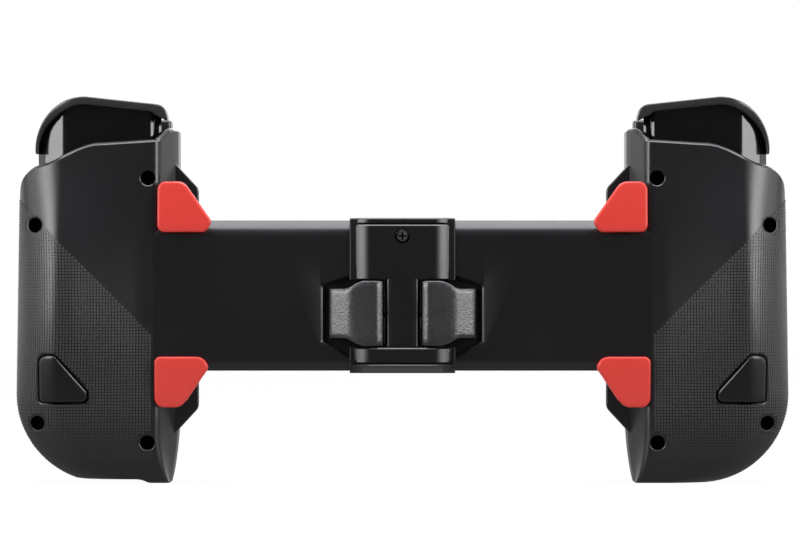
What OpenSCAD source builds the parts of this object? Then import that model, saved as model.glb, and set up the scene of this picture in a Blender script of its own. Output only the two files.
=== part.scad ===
// Telescopic game controller for a phone held in landscape.
// Two grips slide apart on a rail behind the phone, and a rack and pinion keeps them in step.
// Left and right are the player's: the left grip is at +X, the back of the controller faces -Y.
// Depths are measured forward from the rear face of the bridge arms, then centred on the origin.

/* [Grips] */
// Distance between the inner walls of the closed grips
grip_gap = 126.6; // [122:0.2:134]
// Width of one grip
grip_w = 45.5; // [45:0.1:50]
// Height of the level part of a grip's top edge
grip_h = 95.6; // [94:0.1:100]
// Depth of the front face
grip_front = 22; // [21:0.1:25]
// Depth of the parting line between rear and front shell
parting_y = 10.5; // [10.3:0.1:11.5]
// How far the palm swell stands behind the bridge
palm_bulge = 7; // [5.5:0.1:10]
// Radius of the lower outer corner
corner_r = 23; // [20:0.5:26]
// Wall thickness of the shells
wall = 1.8; // [1.4:0.1:2.2]
// How much further out the inner wall lies at the back than at the parting line
wall_slope = 5.2; // [4:0.1:5.6]
// Rise of the cheek beside the trigger
cheek_rise = 4.2; // [2:0.1:4.5]
// Drop of the top edge towards the outer shoulder
shoulder_drop = 6.2; // [4:0.1:7]

/* [Bridge] */
// Height of the bridge arms
arm_h = 42.2; // [39:0.1:44]
// Height of the middle of the bridge above the base
bridge_z = 52.7; // [51:0.1:54]
// Wall thickness of the arms
arm_wall = 1.6; // [1.3:0.1:1.8]
// Rounding of the arms' long rear edges
arm_round = 2.8; // [1.5:0.1:3.2]
// Outward travel of each grip
travel = 30; // [20:1:32]
// Width of the middle collar
collar_w = 29.8; // [29:0.2:32]
// Wall of the collar above and below the arms
collar_lip = 0.55; // [0.5:0.05:1]
// How far the collar stands behind the arms
collar_rise = 2.6; // [2.2:0.1:3]
// Depth of the phone ledge on each grip, towards the middle
ledge_w = 5.8; // [4:0.1:7]
// Thickness of the rubber that the phone rests on
pad_t = 1.4; // [1:0.1:2]

/* [Rack and pinion] */
// Gear module
gear_m = 0.8; // [0.7:0.05:0.85]
// Teeth on the pinion
pinion_teeth = 12; // [12:2:14]
// Thickness of the gear and racks
gear_t = 2; // [1.6:0.1:2]

/* [Controls] */
// Radius of a thumbstick cap
stick_cap_r = 9.2; // [8:0.1:9.4]
// Radius of a thumbstick's dome
stick_dome_r = 11.5; // [11.2:0.1:11.8]
// How far a thumbstick cap stands in front of the grip
stick_reach = 9; // [8.6:0.1:11]
// Tilt of a thumbstick to each side
stick_tilt = 16; // [10:1:16]
// Radius of a face button
face_r = 4; // [3.4:0.1:4.4]
// Distance of each face button from the middle of the four
face_pitch = 8.2; // [7.8:0.1:8.6]
// Length across the direction pad
dpad_l = 22; // [19:0.5:23]
// Width of each arm of the direction pad
dpad_w = 7; // [6:0.1:8]
// Radius of a small menu button
menu_r = 2.4; // [2:0.1:2.6]
// Height of the trigger's crown above the grip's top edge
trigger_rise = 12.9; // [11:0.1:14]
// Turn of a trigger when it is pulled
trigger_turn = 12; // [6:1:12]
// Height of a bumper above the grip's top edge
bumper_rise = 7; // [5:0.1:8]
// Size of a rear button along its straight sides
rear_button_l = 13.4; // [11:0.1:14]

/* [Fits] */
// Gap around buttons in their openings
button_gap = 0.3; // [0.2:0.05:0.4]
// Sliding gap between rail, arms and collar
slide_gap = 0.2; // [0.15:0.05:0.25]
// Radial running gap of pins
pin_gap = 0.05; // [0.03:0.01:0.08]

/* [Hidden] */
$fn = 48;

// Grip outline
wall_x = grip_gap / 2;
outer_x = wall_x + grip_w;
outer_taper = 0.9;
foot_y = 5;
foot_front_r = 4;
tail_z = 20;
palm_z = 48;
palm_half = 46;
swell_w = 17;
wide_y = 9;
front_corner_r = 6;
inner_corner_r = 1.5;
edge_bevel = 1.2;
inner_flare = 2.2;
flare_z = 22;
shoulder_r = 6.5;
level_end = outer_x - 25;
shoulder_x = outer_x - 6;
cheek_x = wall_x + 4.8;
cheek_flat = 1.4;
top_limit = grip_h + cheek_rise + 2;
ring_z = [0, 0.4, 1.4, 3, 5.2, 8, 11.5, 15.5, 20, 25, 32, 40, palm_z, 56, 64, 72, 80, 88, top_limit];

// Depth layers of the bridge, from the back
cover_y = parting_y - arm_wall;
rail_front = cover_y - slide_gap;
rail_t = 4.4;
rail_y = rail_front - rail_t;
rail_skin = 0.9;
gear_y = rail_y - 0.3 - gear_t;
arm_half = arm_h / 2;
channel_half = arm_half - arm_wall - 0.9;
rail_half = channel_half - slide_gap;
rail_x = wall_x - 3.3;
arm_end = 5;
collar_gap = 0.1;
collar_half = arm_half + collar_gap + collar_lip;
collar_back = -collar_rise;
collar_skin = collar_rise - slide_gap;
collar_front_y = parting_y + slide_gap;
collar_front_t = pad_t - slide_gap;
phone_y = parting_y + pad_t;
spine_w = 8.4;
collar_screw_z = bridge_z + arm_half - 4.5;

// Release buttons
pad_low = 7 - arm_half;
pad_high = arm_half - 17;
pad_mid = (pad_low + pad_high) / 2;
pad_in = 5.45;
pad_out = collar_w / 2 + 5.6;
pad_back = -3.6;
notch_x = collar_w / 2 + 7.6;
release_travel = 1.1;
release_spring_r = 1.1;
release_spring_y = -1.4;

// Rack and pinion
pitch_r = gear_m * pinion_teeth / 2;
tooth_pitch = PI * gear_m;
addendum = 0.7 * gear_m;
dedendum = 0.95 * gear_m;
backlash = 0.14;
pressure = 20;
rack_back = 4.6;
rack_foot = notch_x + 11.5;
stake_x = [notch_x + 3.5, notch_x + 9.5];
rack_tail = travel + 4.5;
pinion_pin_r = 1.2;
stake_r = 0.9;
pull_spring_z = pitch_r + rack_back + 4.8;
pull_spring_r = 1;
pull_lug_x = notch_x + 23.5;

// Controls
stick_hi = [wall_x + 23.7, grip_h - 28.6];
stick_lo = [wall_x + 17.7, 36];
board_y = grip_front - 15.2;
board_t = 1.2;
board_x = wall_x + wall_slope + 2.3;
board_front = board_y + board_t;
gimbal_y = board_front + 5;
stick_cap_t = 3.5;
stick_cap_y = grip_front + stick_reach - stick_cap_t;
stick_hole_r = 9.5;
stick_swing = acos(pow(cos(stick_tilt), 2));
dome_low = stick_dome_r * cos(acos((grip_front - wall - gimbal_y) / stick_dome_r) + stick_swing);
axle_r = 0.8;
lever_r = 1.5;
dpad_at = [wall_x + 16.7, 35];
dpad_pivot_y = 15.5;
dpad_ball_r = 3;
dpad_front = grip_front + 2.4;
face_at = stick_hi;
menu_at = [wall_x + 6.9, grip_h - 17.1];
home_at = [wall_x + 6.9, 21];
flange_t = 1.3;
flange_lip = 1;
button_rise = 2;

// Trigger and bumper
trigger_pin_at = [17, grip_h - 5];
trigger_pin_r = 1;
barrel_r = 2.2;
barrel_x = [[wall_x + 13.3, wall_x + 15.9], [wall_x + 19.9, wall_x + 22.9]];
trigger_x0 = wall_x + 6.5;
trigger_x1 = outer_x - 6.7;
trigger_foot = grip_h - 9.2;
trigger_rear = wall + 0.3 + (trigger_pin_at.y - trigger_foot) * sin(trigger_turn) + 0.93;
trigger_front = 9.6;
crown_x = outer_x - 20;
crown_z = grip_h + trigger_rise;
crown_a = 14.4;
crown_b = 14.6;
crown_fall = 0.107;
lip_t = 2.8;
lip_rear = 0.6;
lip_x0 = wall_x + 2.6;
lip_tail_z = crown_z - 6.4;

// Screws
screw_at = [
    [wall_x + 7.9, grip_h - 10], [outer_x - 6, grip_h - 23.2],
    [outer_x - 6.6, 17], [wall_x + 8.1, 11.5]
];
screw_head_r = 1.9;
screw_recess_r = 2.15;
screw_r = 0.9;
screw_seat = 6.5;
boss_r = 3.3;

// Ports
plug_z = bridge_z - 1.2;
plug_y = phone_y + 4;
port_x = wall_x + 17.5;
port_y = 14.5;
port_notch = 1.1;
port_in = [4.2, 1.3];
port_skin = 0.4;
port_end = port_notch + 6.8;

// The whole depth, centred on the origin
front_reach = grip_front + stick_reach;
depth_mid = (front_reach - palm_bulge) / 2;

// Small helpers
function unit(v) = v / norm(v);
function lerp(a, b, t) = a + (b - a) * t;
function smooth(t) = t <= 0 ? 0 : t >= 1 ? 1 : t * t * (3 - 2 * t);
function polar(r, a) = r * [cos(a), sin(a)];
function arc(c, r, a0, a1, n) = [for (i = [0:n]) c + polar(r, lerp(a0, a1, i / n))];
function rect(a, b) = [a, [b.x, a.y], b, [a.x, b.y]];
function turn(a) = a > 180 ? a - 360 : a < -180 ? a + 360 : a;

// Points of one rounded corner of a polygon
function corner(p, c, q, r, n) =
    let (u = unit(p - c), v = unit(q - c), h = acos(u * v) / 2)
    let (o = c + unit(u + v) * r / sin(h), s = c + u * r / tan(h) - o, e = c + v * r / tan(h) - o)
    let (a = atan2(s.y, s.x), d = turn(atan2(e.y, e.x) - a))
    [for (i = [0:n]) o + r * [cos(a + d * i / n), sin(a + d * i / n)]];

// A polygon with each corner rounded to its own radius
function rounded(pts, radii, n = 5) =
    let (k = len(pts))
    [for (i = [0:k - 1]) each corner(pts[(i + k - 1) % k], pts[i], pts[(i + 1) % k], radii[i], n)];

// Extrude a drawing of X and Z along the depth, or of depth and Z along X
module along_y(y0, y1) translate([0, y1, 0]) rotate([90, 0, 0]) linear_extrude(y1 - y0) children();
module along_x(x0, x1) translate([x0, 0, 0]) rotate([90, 0, 90]) linear_extrude(x1 - x0) children();
module rod_y(r, at, y0, y1) translate([at.x, y0, at.y]) rotate([-90, 0, 0]) cylinder(r = r, h = y1 - y0);
module rod_x(r, x0, x1, at) translate([x0, at.x, at.y]) rotate([0, 90, 0]) cylinder(r = r, h = x1 - x0);
module rod_z(r, at, z0, z1) translate([at.x, at.y, z0]) cylinder(r = r, h = z1 - z0);
module box(a, b) translate(a) cube(b - a);
module tube_x(r, hole, x0, x1, at) difference() {
    rod_x(r, x0, x1, at);
    rod_x(hole, x0 - 1, x1 + 1, at);
}

// Put a part drawn in depths into the centred frame, on the left or mirrored to the right
module placed() translate([0, -depth_mid, 0]) children();
module on_side(side) mirror([side < 0 ? 1 : 0, 0, 0]) placed() children();
module half_turn() translate([0, 0, bridge_z]) rotate([0, 180, 0]) translate([0, 0, -bridge_z]) children();

// Section of a grip at one height, drawn in by an inset
function rounding(z, r) = z >= r ? 1 : sqrt(max(0, 1 - pow((r - z) / r, 2)));
function palm(z) = pow(max(0, 1 - pow((z - palm_z) / palm_half, 2)), 2);
function flare(z) = inner_flare * pow(max(0, 1 - z / flare_z), 2);
function outer_at(z, w) =
    outer_x - w - outer_taper * max(0, z - corner_r) / 60
    - (corner_r - w) * (1 - rounding(z - w, corner_r - w));
function back_at(z, w) = foot_y + w - (palm_bulge * palm(z) + foot_y) * rounding(z - w, tail_z - w);
function edge_at(z, w) = foot_y + w - foot_y * rounding(z - w, tail_z - w);
function front_at(z, w) =
    grip_front - w - (foot_front_r - w / 2) * (1 - rounding(z - w, foot_front_r - w / 2));
function slope_x(y) = wall_slope * (1 - y / (parting_y - 0.3));
function section(z, w) =
    let (xf = wall_x + flare(z) + w, xo = outer_at(z, w), yb = back_at(z, w), ye = edge_at(z, w))
    let (yf = front_at(z, w), xr = xf + slope_x(ye), xs = xr + edge_bevel)
    let (a = min(swell_w, (xo - xs) * 0.62), xa = xo - a, rf = front_corner_r - w, ri = inner_corner_r)
    [
        [xf + slope_x(ye + edge_bevel), ye + edge_bevel],
        for (i = [0:6]) [lerp(xs, xa, i / 6), lerp(ye, yb, (1 - cos(180 * i / 6)) / 2)],
        for (i = [1:8]) let (t = 90 * i / 8)
            [xa + a * pow(sin(t), 2 / 2.2), wide_y - (wide_y - yb) * pow(max(0, cos(t)), 2 / 2.2)],
        each arc([xo - rf, yf - rf], rf, 0, 90, 4),
        each arc([xf + ri, yf - ri], ri, 90, 180, 2),
        [xf, parting_y - 0.3]
    ];

// Skin through the sections of a grip
module grip_loft(w) {
    zs = [for (z = ring_z) if (z <= 0 || z > w + 0.2) z <= 0 ? w : z];
    rings = [for (z = zs) [for (p = section(z, w)) [p.x, p.y, z]]];
    n = len(rings[0]);
    m = len(rings);
    polyhedron(
        points = [for (r = rings) each r],
        faces = [
            [for (j = [0:n - 1]) j],
            [for (j = [0:n - 1]) (m - 1) * n + n - 1 - j],
            for (i = [0:m - 2], j = [0:n - 1]) let (a = i * n + j, b = i * n + (j + 1) % n)
                each [[a, a + n, b + n], [a, b + n, b]]
        ]
    );
}

// Top edge of a grip: cheek, level run and outer shoulder
function edge_z(x) =
    grip_h + cheek_rise * (1 - smooth((x - wall_x - cheek_flat) / (cheek_x - wall_x - cheek_flat)))
    - shoulder_drop * smooth((x - level_end) / (shoulder_x - level_end));
function outline(w) = [
    [wall_x - 10, -5],
    [outer_x + 5, -5],
    [outer_x + 5, edge_z(outer_x) - shoulder_r - w],
    each arc([outer_x - 1 - shoulder_r, edge_z(outer_x) - shoulder_r - w], shoulder_r, 0, 90, 5),
    for (i = [10:-1:0]) let (x = lerp(level_end, shoulder_x - 1, i / 10)) [x, edge_z(x) - w],
    for (i = [6:-1:0]) let (x = lerp(wall_x + cheek_flat, cheek_x, i / 6)) [x, edge_z(x) - w],
    [wall_x - 10, edge_z(wall_x) - w]
];

// Hollow grip, still in one piece
module grip_skin() difference() {
    intersection() {
        grip_loft(0);
        along_y(-palm_bulge - 10, grip_front + 10) polygon(outline(0));
    }
    intersection() {
        grip_loft(wall);
        along_y(-palm_bulge - 10, grip_front + 10) polygon(outline(wall));
    }
    box([cheek_x - 0.5, wall + 0.3, grip_h - 12], [shoulder_x + 0.3, grip_front - wall - 0.2, top_limit]);
}

// Bridge arm of the rear shell: a channel that the rail slides in
function arm_section() = rounded(
    rect([0, bridge_z - arm_half], [cover_y, bridge_z + arm_half]),
    [arm_round, 0.2, 0.2, arm_round]);
function notch_outline(g = 0) = [
    [notch_x + g, bridge_z + pad_mid - 7.7], [notch_x + g, bridge_z + pad_mid + 7.7],
    [collar_w / 2, bridge_z + pad_high + 0.5], [collar_w / 2 - 0.4, bridge_z + pad_high + 2.2],
    [0, bridge_z + pad_high + 2.2], [0, bridge_z + pad_low - 3.2], [collar_w / 2, bridge_z + pad_low - 3.2]
];
ledge_y = 5.5;
ledge_half = 30.2;
module ledge() along_y(ledge_y, parting_y) polygon([
    [wall_x - ledge_w, bridge_z - ledge_half - 1.5], [wall_x + 3, bridge_z - ledge_half - 11],
    [wall_x + 3, bridge_z + ledge_half + 9.5], [wall_x - ledge_w, bridge_z + ledge_half]]);
module arm_solid() along_x(arm_end, wall_x + wall_slope + 2) polygon(arm_section());
module arm_hollow() {
    box([0, arm_wall, bridge_z - channel_half],
        [wall_x + wall_slope + 3, parting_y + 1, bridge_z + channel_half]);
    box([0, cover_y, bridge_z - arm_half - 0.1], [wall_x, parting_y + 1, bridge_z + arm_half + 0.1]);
    along_y(-1, arm_wall + 0.1) polygon(notch_outline());
}

// Rear button, screw bosses and standoffs of a rear shell
rear_button_at = [outer_x - 20.9, 22.9];
function rear_button_outline(g) =
    let (l = rear_button_l, h = 0.98 * l, run = [l - 4.6, h - 3], n = unit([-run.y, run.x]))
    let (top = [(g - n.y * (h + g - 3)) / n.x, h + g], low = [-g, 3 + (g + n.x * g) / n.y])
    rounded([for (p = [[l + g, -g], [l + g, h + g], top, low, [-g, -g]]) rear_button_at + p],
        [1.2, 2.2, 2.2, 2, 1.6], 4);
module bosses() intersection() {
    for (s = screw_at) rod_y(boss_r, s, -20, parting_y - 0.1);
    grip_loft(0.3);
}
module standoffs() intersection() {
    for (p = [[wall_x + 14.7, 50], [wall_x + 28.7, 44], [wall_x + 22.7, grip_h - 19.6]])
        rod_y(2, p, -20, board_y);
    grip_loft(0.3);
}

module rear_shell(side) color("#232326") on_side(side) difference() {
    union() {
        intersection() {
            grip_skin();
            box([0, -20, -5], [outer_x + 5, parting_y, top_limit + 5]);
        }
        arm_solid();
        ledge();
        bosses();
        standoffs();
        along_x(pull_lug_x, pull_lug_x + 2) pull_lug(side);
        for (x = stake_x) rod_y(stake_r, [x, rack_mid(side)], 1, gear_y + gear_t);
    }
    arm_channel_cut(side);
    for (s = screw_at) {
        rod_y(screw_recess_r, s, -20, screw_seat);
        rod_y(screw_r + 0.2, s, 0, parting_y + 1);
    }
    along_y(-20, 5) polygon(rear_button_outline(button_gap));
    if (side < 0) port_notch_cut();
}
function rack_mid(side) = bridge_z + side * (pitch_r + rack_back - 1.4);
module pull_lug(side) translate([1, bridge_z + side * pull_spring_z - 2]) square([gear_y + gear_t - 1, 4]);

// The channel is cut round the spring lug and the rack stakes, which stay
module arm_channel_cut(side) difference() {
    arm_hollow();
    along_x(pull_lug_x, pull_lug_x + 2) pull_lug(side);
    for (x = stake_x) rod_y(stake_r, [x, rack_mid(side)], 1, gear_y + gear_t);
}
module port_notch_cut() along_y(-20, 40) polygon([
    [port_x - 8, -1], [port_x + 12, -1], [port_x + 12, port_notch],
    [port_x - 5.5, port_notch], [port_x - 8, 0]]);

// Front shell with its openings, screw bosses and trigger lugs
lug_x = [[wall_x + 11.2, wall_x + 13], [wall_x + 23.3, wall_x + 25.3]];
module trigger_lugs() for (x = lug_x) along_x(x[0], x[1]) polygon([for (p = [
    [grip_front - wall / 2 - trigger_pin_at.x, -5], [grip_front - wall / 2 - trigger_pin_at.x, 2.4],
    [-1.6, 2.4], [-2.2, 1.8], [-2.2, -2], [0, -5]]) trigger_pin_at + p]);
module front_bosses() intersection() {
    for (s = screw_at) rod_y(boss_r - 0.3, s, parting_y + 0.1, grip_front);
    grip_loft(0.3);
}
module dpad_cross(g) for (a = [0, 90]) translate(dpad_at) rotate(a)
    square([dpad_l + 2 * g, dpad_w + 2 * g], center = true);
module front_shell(side) color("#232326") on_side(side) difference() {
    union() {
        intersection() {
            grip_skin();
            box([0, parting_y, -5], [outer_x + 5, grip_front + 5, top_limit + 5]);
        }
        front_bosses();
        trigger_lugs();
    }
    rod_x(trigger_pin_r + 0.02, lug_x[0][0] - 1, lug_x[1][1] + 1, trigger_pin_at);
    box([wall_x + wall + 0.3, parting_y - 1, grip_h - 4], [cheek_x, grip_front - wall - 0.2, top_limit]);
    for (s = screw_at) rod_y(screw_r + 0.03, s, parting_y - 1, parting_y + 6);
    rod_y(stick_hole_r, stick_at(side), parting_y, grip_front + 1);
    for (p = [menu_at, home_at]) rod_y(menu_r + button_gap, p, parting_y, grip_front + 1);
    if (side > 0) along_y(parting_y, grip_front + 1) dpad_cross(0.8);
    if (side < 0) {
        for (a = [0:90:270]) rod_y(face_r + button_gap, face_spot(a), parting_y, grip_front + 1);
        box([wall_x - 1, plug_y - 2.8, plug_z - 6.2], [wall_x + wall + 1, plug_y + 2.8, plug_z + 6.2]);
        port_block(port_skin + 0.2, -1, wall + 1);
        port_notch_cut();
    }
}
function face_spot(a) = face_at + face_pitch * [cos(a), sin(a)];

// Front plate of a bridge arm
module arm_cover(side) color("#1d1d20") on_side(side)
    box([arm_end, cover_y, bridge_z - arm_half], [wall_x - 0.1, parting_y, bridge_z + arm_half]);

// Red corner pads that fill the corners between grip and bridge
corner_pad_t = 1.8;
function corner_pad_outline(s) = let (x = wall_x + wall_slope, z = bridge_z + s * (arm_half - 3.4))
    rounded([[x, z], [x, z + s * 14.2], [x - 7.4, z + s * 14.2], [x - 15.3, z + s * 3], [x - 13.6, z]],
        [1.6, 1.8, 2.4, 0.8, 1.6], 4);
module corner_pad_inset(s, k) let (c = [wall_x + wall_slope - 6, bridge_z + s * (arm_half + 3.1)])
    translate(c * (1 - k)) scale(k) polygon(corner_pad_outline(s));
module corner_pads(side) color("#d8382f") on_side(side) for (s = [-1, 1]) {
    hull() {
        along_y(0.8 - corner_pad_t, -0.05) polygon(corner_pad_outline(s));
        along_y(0.25 - corner_pad_t, -0.3) corner_pad_inset(s, 0.95);
        along_y(-corner_pad_t, -0.3) corner_pad_inset(s, 0.86);
    }
    along_y(-0.5, ledge_y - 0.05) polygon([
        [wall_x - 0.1, bridge_z + s * (arm_half + 0.1)], [wall_x - 0.1, bridge_z + s * (arm_half + 8.6)],
        [wall_x - 2.6, bridge_z + s * (arm_half + 8.6)],
        [wall_x - ledge_w - 0.8, bridge_z + s * (arm_half + 2.6)],
        [wall_x - ledge_w - 0.8, bridge_z + s * (arm_half + 0.1)]]);
}

// Rubber that the phone's end and back press on
module end_pad(side) color("#141416") on_side(side) difference() {
    along_y(parting_y, grip_front - 2) polygon([
        [wall_x - ledge_w, bridge_z - ledge_half], [wall_x, bridge_z - ledge_half],
        [wall_x, bridge_z + ledge_half], [wall_x - ledge_w, bridge_z + ledge_half]]);
    box([0, phone_y, 0], [wall_x - pad_t, grip_front, top_limit]);
    if (side < 0) box([0, plug_y - 2.8, plug_z - 6.2], [wall_x + 1, plug_y + 2.8, plug_z + 6.2]);
}

// Flat hollow rail that both arms slide on
module slide_rail() color("#9a9ca0") placed() difference() {
    box([-rail_x, rail_y, bridge_z - rail_half], [rail_x, rail_front, bridge_z + rail_half]);
    box([-rail_x - 1, rail_y + rail_skin, bridge_z - rail_half + 1.4],
        [rail_x + 1, rail_front - rail_skin, bridge_z + rail_half - 1.4]);
    rod_y(screw_r + 0.2, [0, collar_screw_z], rail_y - 1, rail_front + 1);
    rod_y(pinion_pin_r, [0, bridge_z], rail_y - 1, rail_y + rail_skin);
}

// Collar round the middle of the bridge
post_gap = pitch_r + rack_back + 0.9;
module collar_window(s) translate([s > 0 ? spine_w / 2 : -collar_w, 0])
    translate([0, bridge_z + pad_low - 0.2]) square([collar_w - spine_w / 2, pad_high - pad_low + 0.4]);
module collar_rear() color("#1f1f22") placed() difference() {
    along_x(-collar_w / 2, collar_w / 2) polygon(rounded(
        rect([collar_back, bridge_z - collar_half], [collar_front_y, bridge_z + collar_half]),
        [1.6, 0.2, 0.2, 1.6]));
    difference() {
        box([-collar_w, -slide_gap, bridge_z - arm_half - collar_gap],
            [collar_w, parting_y + 1, bridge_z + arm_half + collar_gap]);
        for (s = [-1, 1]) box([-spine_w / 2, -1, min(bridge_z + s * post_gap, bridge_z + s * collar_half)],
            [spine_w / 2, rail_y, max(bridge_z + s * post_gap, bridge_z + s * collar_half)]);
    }
    along_y(collar_back - 1, 0.5) for (s = [-1, 1]) collar_window(s);
    rod_y(screw_recess_r, [0, collar_screw_z], collar_back - 1, collar_back + 1.7);
    rod_y(screw_r + 0.2, [0, collar_screw_z], collar_back, rail_y + 1);
}
module collar_front() color("#1d1d20") placed() difference() {
    union() {
        box([-collar_w / 2, collar_front_y, bridge_z - collar_half],
            [collar_w / 2, collar_front_y + collar_front_t, bridge_z + collar_half]);
        for (z = [collar_screw_z, 2 * bridge_z - collar_screw_z])
            rod_y(3, [0, z], rail_front, collar_front_y + 0.2);
    }
    rod_y(screw_r + 0.03, [0, collar_screw_z], rail_front - 1, collar_front_y + 0.4);
}

// Cross-head screw along the depth: head, shank and recess
module screw(at, seat, tip) difference() {
    union() {
        rod_y(screw_head_r, at, seat - 1.4, seat);
        rod_y(screw_r, at, seat - 0.2, tip);
    }
    for (a = [0, 90]) translate([at.x, seat - 1.5, at.y]) rotate([0, a, 0])
        translate([-1.1, 0, -0.25]) cube([2.2, 0.9, 0.5]);
}
module collar_screw() color("#6d6f73") placed() screw([0, collar_screw_z], collar_back + 1.7, collar_front_y);
module case_screws(side) color("#6d6f73") on_side(side)
    for (s = screw_at) screw(s, screw_seat, parting_y + 5);

// Pinion, its pin and the racks
function involute(t) = [cos(t) + t * PI / 180 * sin(t), sin(t) - t * PI / 180 * cos(t)];
base_r = pitch_r * cos(pressure);
tip_r = pitch_r + addendum;
root_r = pitch_r - dedendum;
tip_roll = sqrt(pow(tip_r / base_r, 2) - 1) * 180 / PI;
flank_turn = 90 / pinion_teeth - backlash / pitch_r * 90 / PI + tan(pressure) * 180 / PI - pressure;
function spin(p, a) = [p.x * cos(a) - p.y * sin(a), p.x * sin(a) + p.y * cos(a)];
function tooth(a) = [
    root_r * [cos(a - flank_turn), sin(a - flank_turn)],
    for (i = [0:5]) spin(base_r * involute(tip_roll * i / 5), a - flank_turn),
    for (i = [5:-1:0]) let (p = base_r * involute(tip_roll * i / 5)) spin([p.x, -p.y], a + flank_turn),
    root_r * [cos(a + flank_turn), sin(a + flank_turn)]
];
module pinion() color("#d9d4c6") placed() difference() {
    translate([0, 0, bridge_z]) along_y(gear_y, gear_y + gear_t)
        polygon([for (k = [0:pinion_teeth - 1]) each tooth(90 + 360 * k / pinion_teeth)]);
    rod_y(pinion_pin_r + pin_gap, [0, bridge_z], gear_y - 1, gear_y + gear_t + 1);
}
module pinion_pin() color("#b9bbbf") placed() {
    rod_y(pinion_pin_r, [0, bridge_z], gear_y - 0.9, rail_y + rail_skin);
    rod_y(pinion_pin_r + 0.8, [0, bridge_z], gear_y - 0.9, gear_y - 0.1);
}
function rack_tooth(x) = let (w = tooth_pitch / 4 - backlash / 2, t = tan(pressure)) [
    [x - w - dedendum * t, dedendum], [x - w + addendum * t, -addendum],
    [x + w - addendum * t, -addendum], [x + w + dedendum * t, dedendum]];
rack_teeth = floor((rack_tail - 2) / tooth_pitch);
module rack_shape() translate([0, bridge_z + pitch_r]) {
    polygon([
        [-rack_tail, rack_back],
        [-rack_tail, dedendum],
        for (k = [-rack_teeth:1]) each rack_tooth((k + 0.5) * tooth_pitch),
        [6, dedendum],
        [rack_foot, dedendum],
        [rack_foot, rack_back]
    ]);
}
module rack() color("#d9d4c6") placed() difference() {
    union() {
        along_y(gear_y, gear_y + gear_t) rack_shape();
        box([notch_x + 1.5, arm_wall, bridge_z + pitch_r + dedendum],
            [rack_foot, gear_y + 0.5, bridge_z + pitch_r + rack_back]);
    }
    for (x = stake_x) rod_y(stake_r + 0.03, [x, rack_mid(1)], 0, gear_y + gear_t + 1);
}

// Springs that pull the grips on to the phone, as plain sleeves
module pull_spring() color("#a8aaae") placed()
    tube_x(pull_spring_r, pull_spring_r - 0.35, spine_w / 2 + 0.05, pull_lug_x - 0.05,
        [gear_y + gear_t / 2, bridge_z + pull_spring_z]);

// Ribbon between the two circuit boards, folded inside the rail
cable_t = 0.25;
cable_w = 9;
fold_x = 30;
socket_x = wall_x + 3.3;
module flex_cable() color("#c27a2c") placed() translate([0, 0, bridge_z - 13]) linear_extrude(cable_w) {
    y0 = rail_y + rail_skin + 0.3;
    y1 = rail_front - rail_skin - 0.3 - cable_t;
    ym = (y0 + y1) / 2;
    translate([-socket_x, y0]) square([socket_x + fold_x, cable_t]);
    translate([fold_x, y0]) square([cable_t, ym - y0 + cable_t]);
    translate([-fold_x, ym]) square([2 * fold_x, cable_t]);
    translate([-fold_x - cable_t, ym]) square([cable_t, y1 - ym + cable_t]);
    translate([-fold_x, y1]) square([socket_x + fold_x, cable_t]);
}

// Squeeze buttons that free the slide, with their return springs
function pad_profile() = [
    [pad_in, 1.2], [pad_in, pad_back + 0.7], each arc([pad_in + 0.7, pad_back + 0.7], 0.7, 180, 270, 3),
    [pad_in + 7, pad_back], [pad_in + 8.6, pad_back + 0.5], [pad_in + 10.6, pad_back + 1.9],
    [pad_in + 12, pad_back + 2.4], [pad_out - 0.4, pad_back + 2.9],
    [pad_out, pad_back + 3.4], [pad_out, 1.2]];
function pad_plan() = [
    [pad_in, bridge_z + pad_low], [pad_in + 8, bridge_z + pad_low], [pad_in + 11.4, bridge_z + pad_mid - 6.8],
    [pad_out, bridge_z + pad_mid - 6.8], [pad_out, bridge_z + pad_mid + 6.8],
    [pad_in + 11.4, bridge_z + pad_mid + 6.8], [pad_in + 8, bridge_z + pad_high],
    [pad_in, bridge_z + pad_high]];
module release_button(side) color("#303034") on_side(side) difference() {
    union() {
        intersection() {
            translate([0, 0, bridge_z + pad_low - 1])
                linear_extrude(pad_high - pad_low + 2) polygon(pad_profile());
            along_y(pad_back - 1, 2) polygon(pad_plan());
        }
        box([pad_in + 1, 0, bridge_z + pad_low - 2.2], [pad_in + 7.5, 1.2, bridge_z + pad_high + 1.4]);
    }
    rod_x(release_spring_r + 0.2, pad_in - 1, pad_in + 4.5, [release_spring_y, bridge_z + pad_mid]);
}
module release_springs() color("#a8aaae") for (s = [-1, 1]) on_side(s)
    tube_x(release_spring_r, release_spring_r - 0.35, spine_w / 2, pad_in + 4.4,
        [release_spring_y, bridge_z + pad_mid]);

// Circuit board with its switches
module circuit_board(side) color("#1f5a3a") on_side(side) {
    box([board_x, board_y, 16], [outer_x - 10.2, board_front, grip_h - 14.6]);
    for (z = [[16, bridge_z - arm_half - 0.6], [bridge_z + arm_half + 0.6, grip_h - 14.6]])
        box([wall_x + 4.2, board_y, z[0]], [board_x + 1, board_front, z[1]]);
    box([socket_x + 0.1, rail_y + rail_skin, bridge_z - 13],
        [board_x + 0.4, board_front, bridge_z - 13 + cable_w]);
    for (p = [menu_at, home_at])
        box([p.x - 2, board_front - 0.1, p.y - 2], [p.x + 2, board_front + 1.2, p.y + 2]);
    if (side < 0) for (a = [0:90:270]) rod_y(2.4, face_spot(a), board_front - 0.1, board_front + 0.9);
    box([outer_x - 19, board_y - 1.6, 26], [outer_x - 13, board_y + 0.1, 32]);
}

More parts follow.
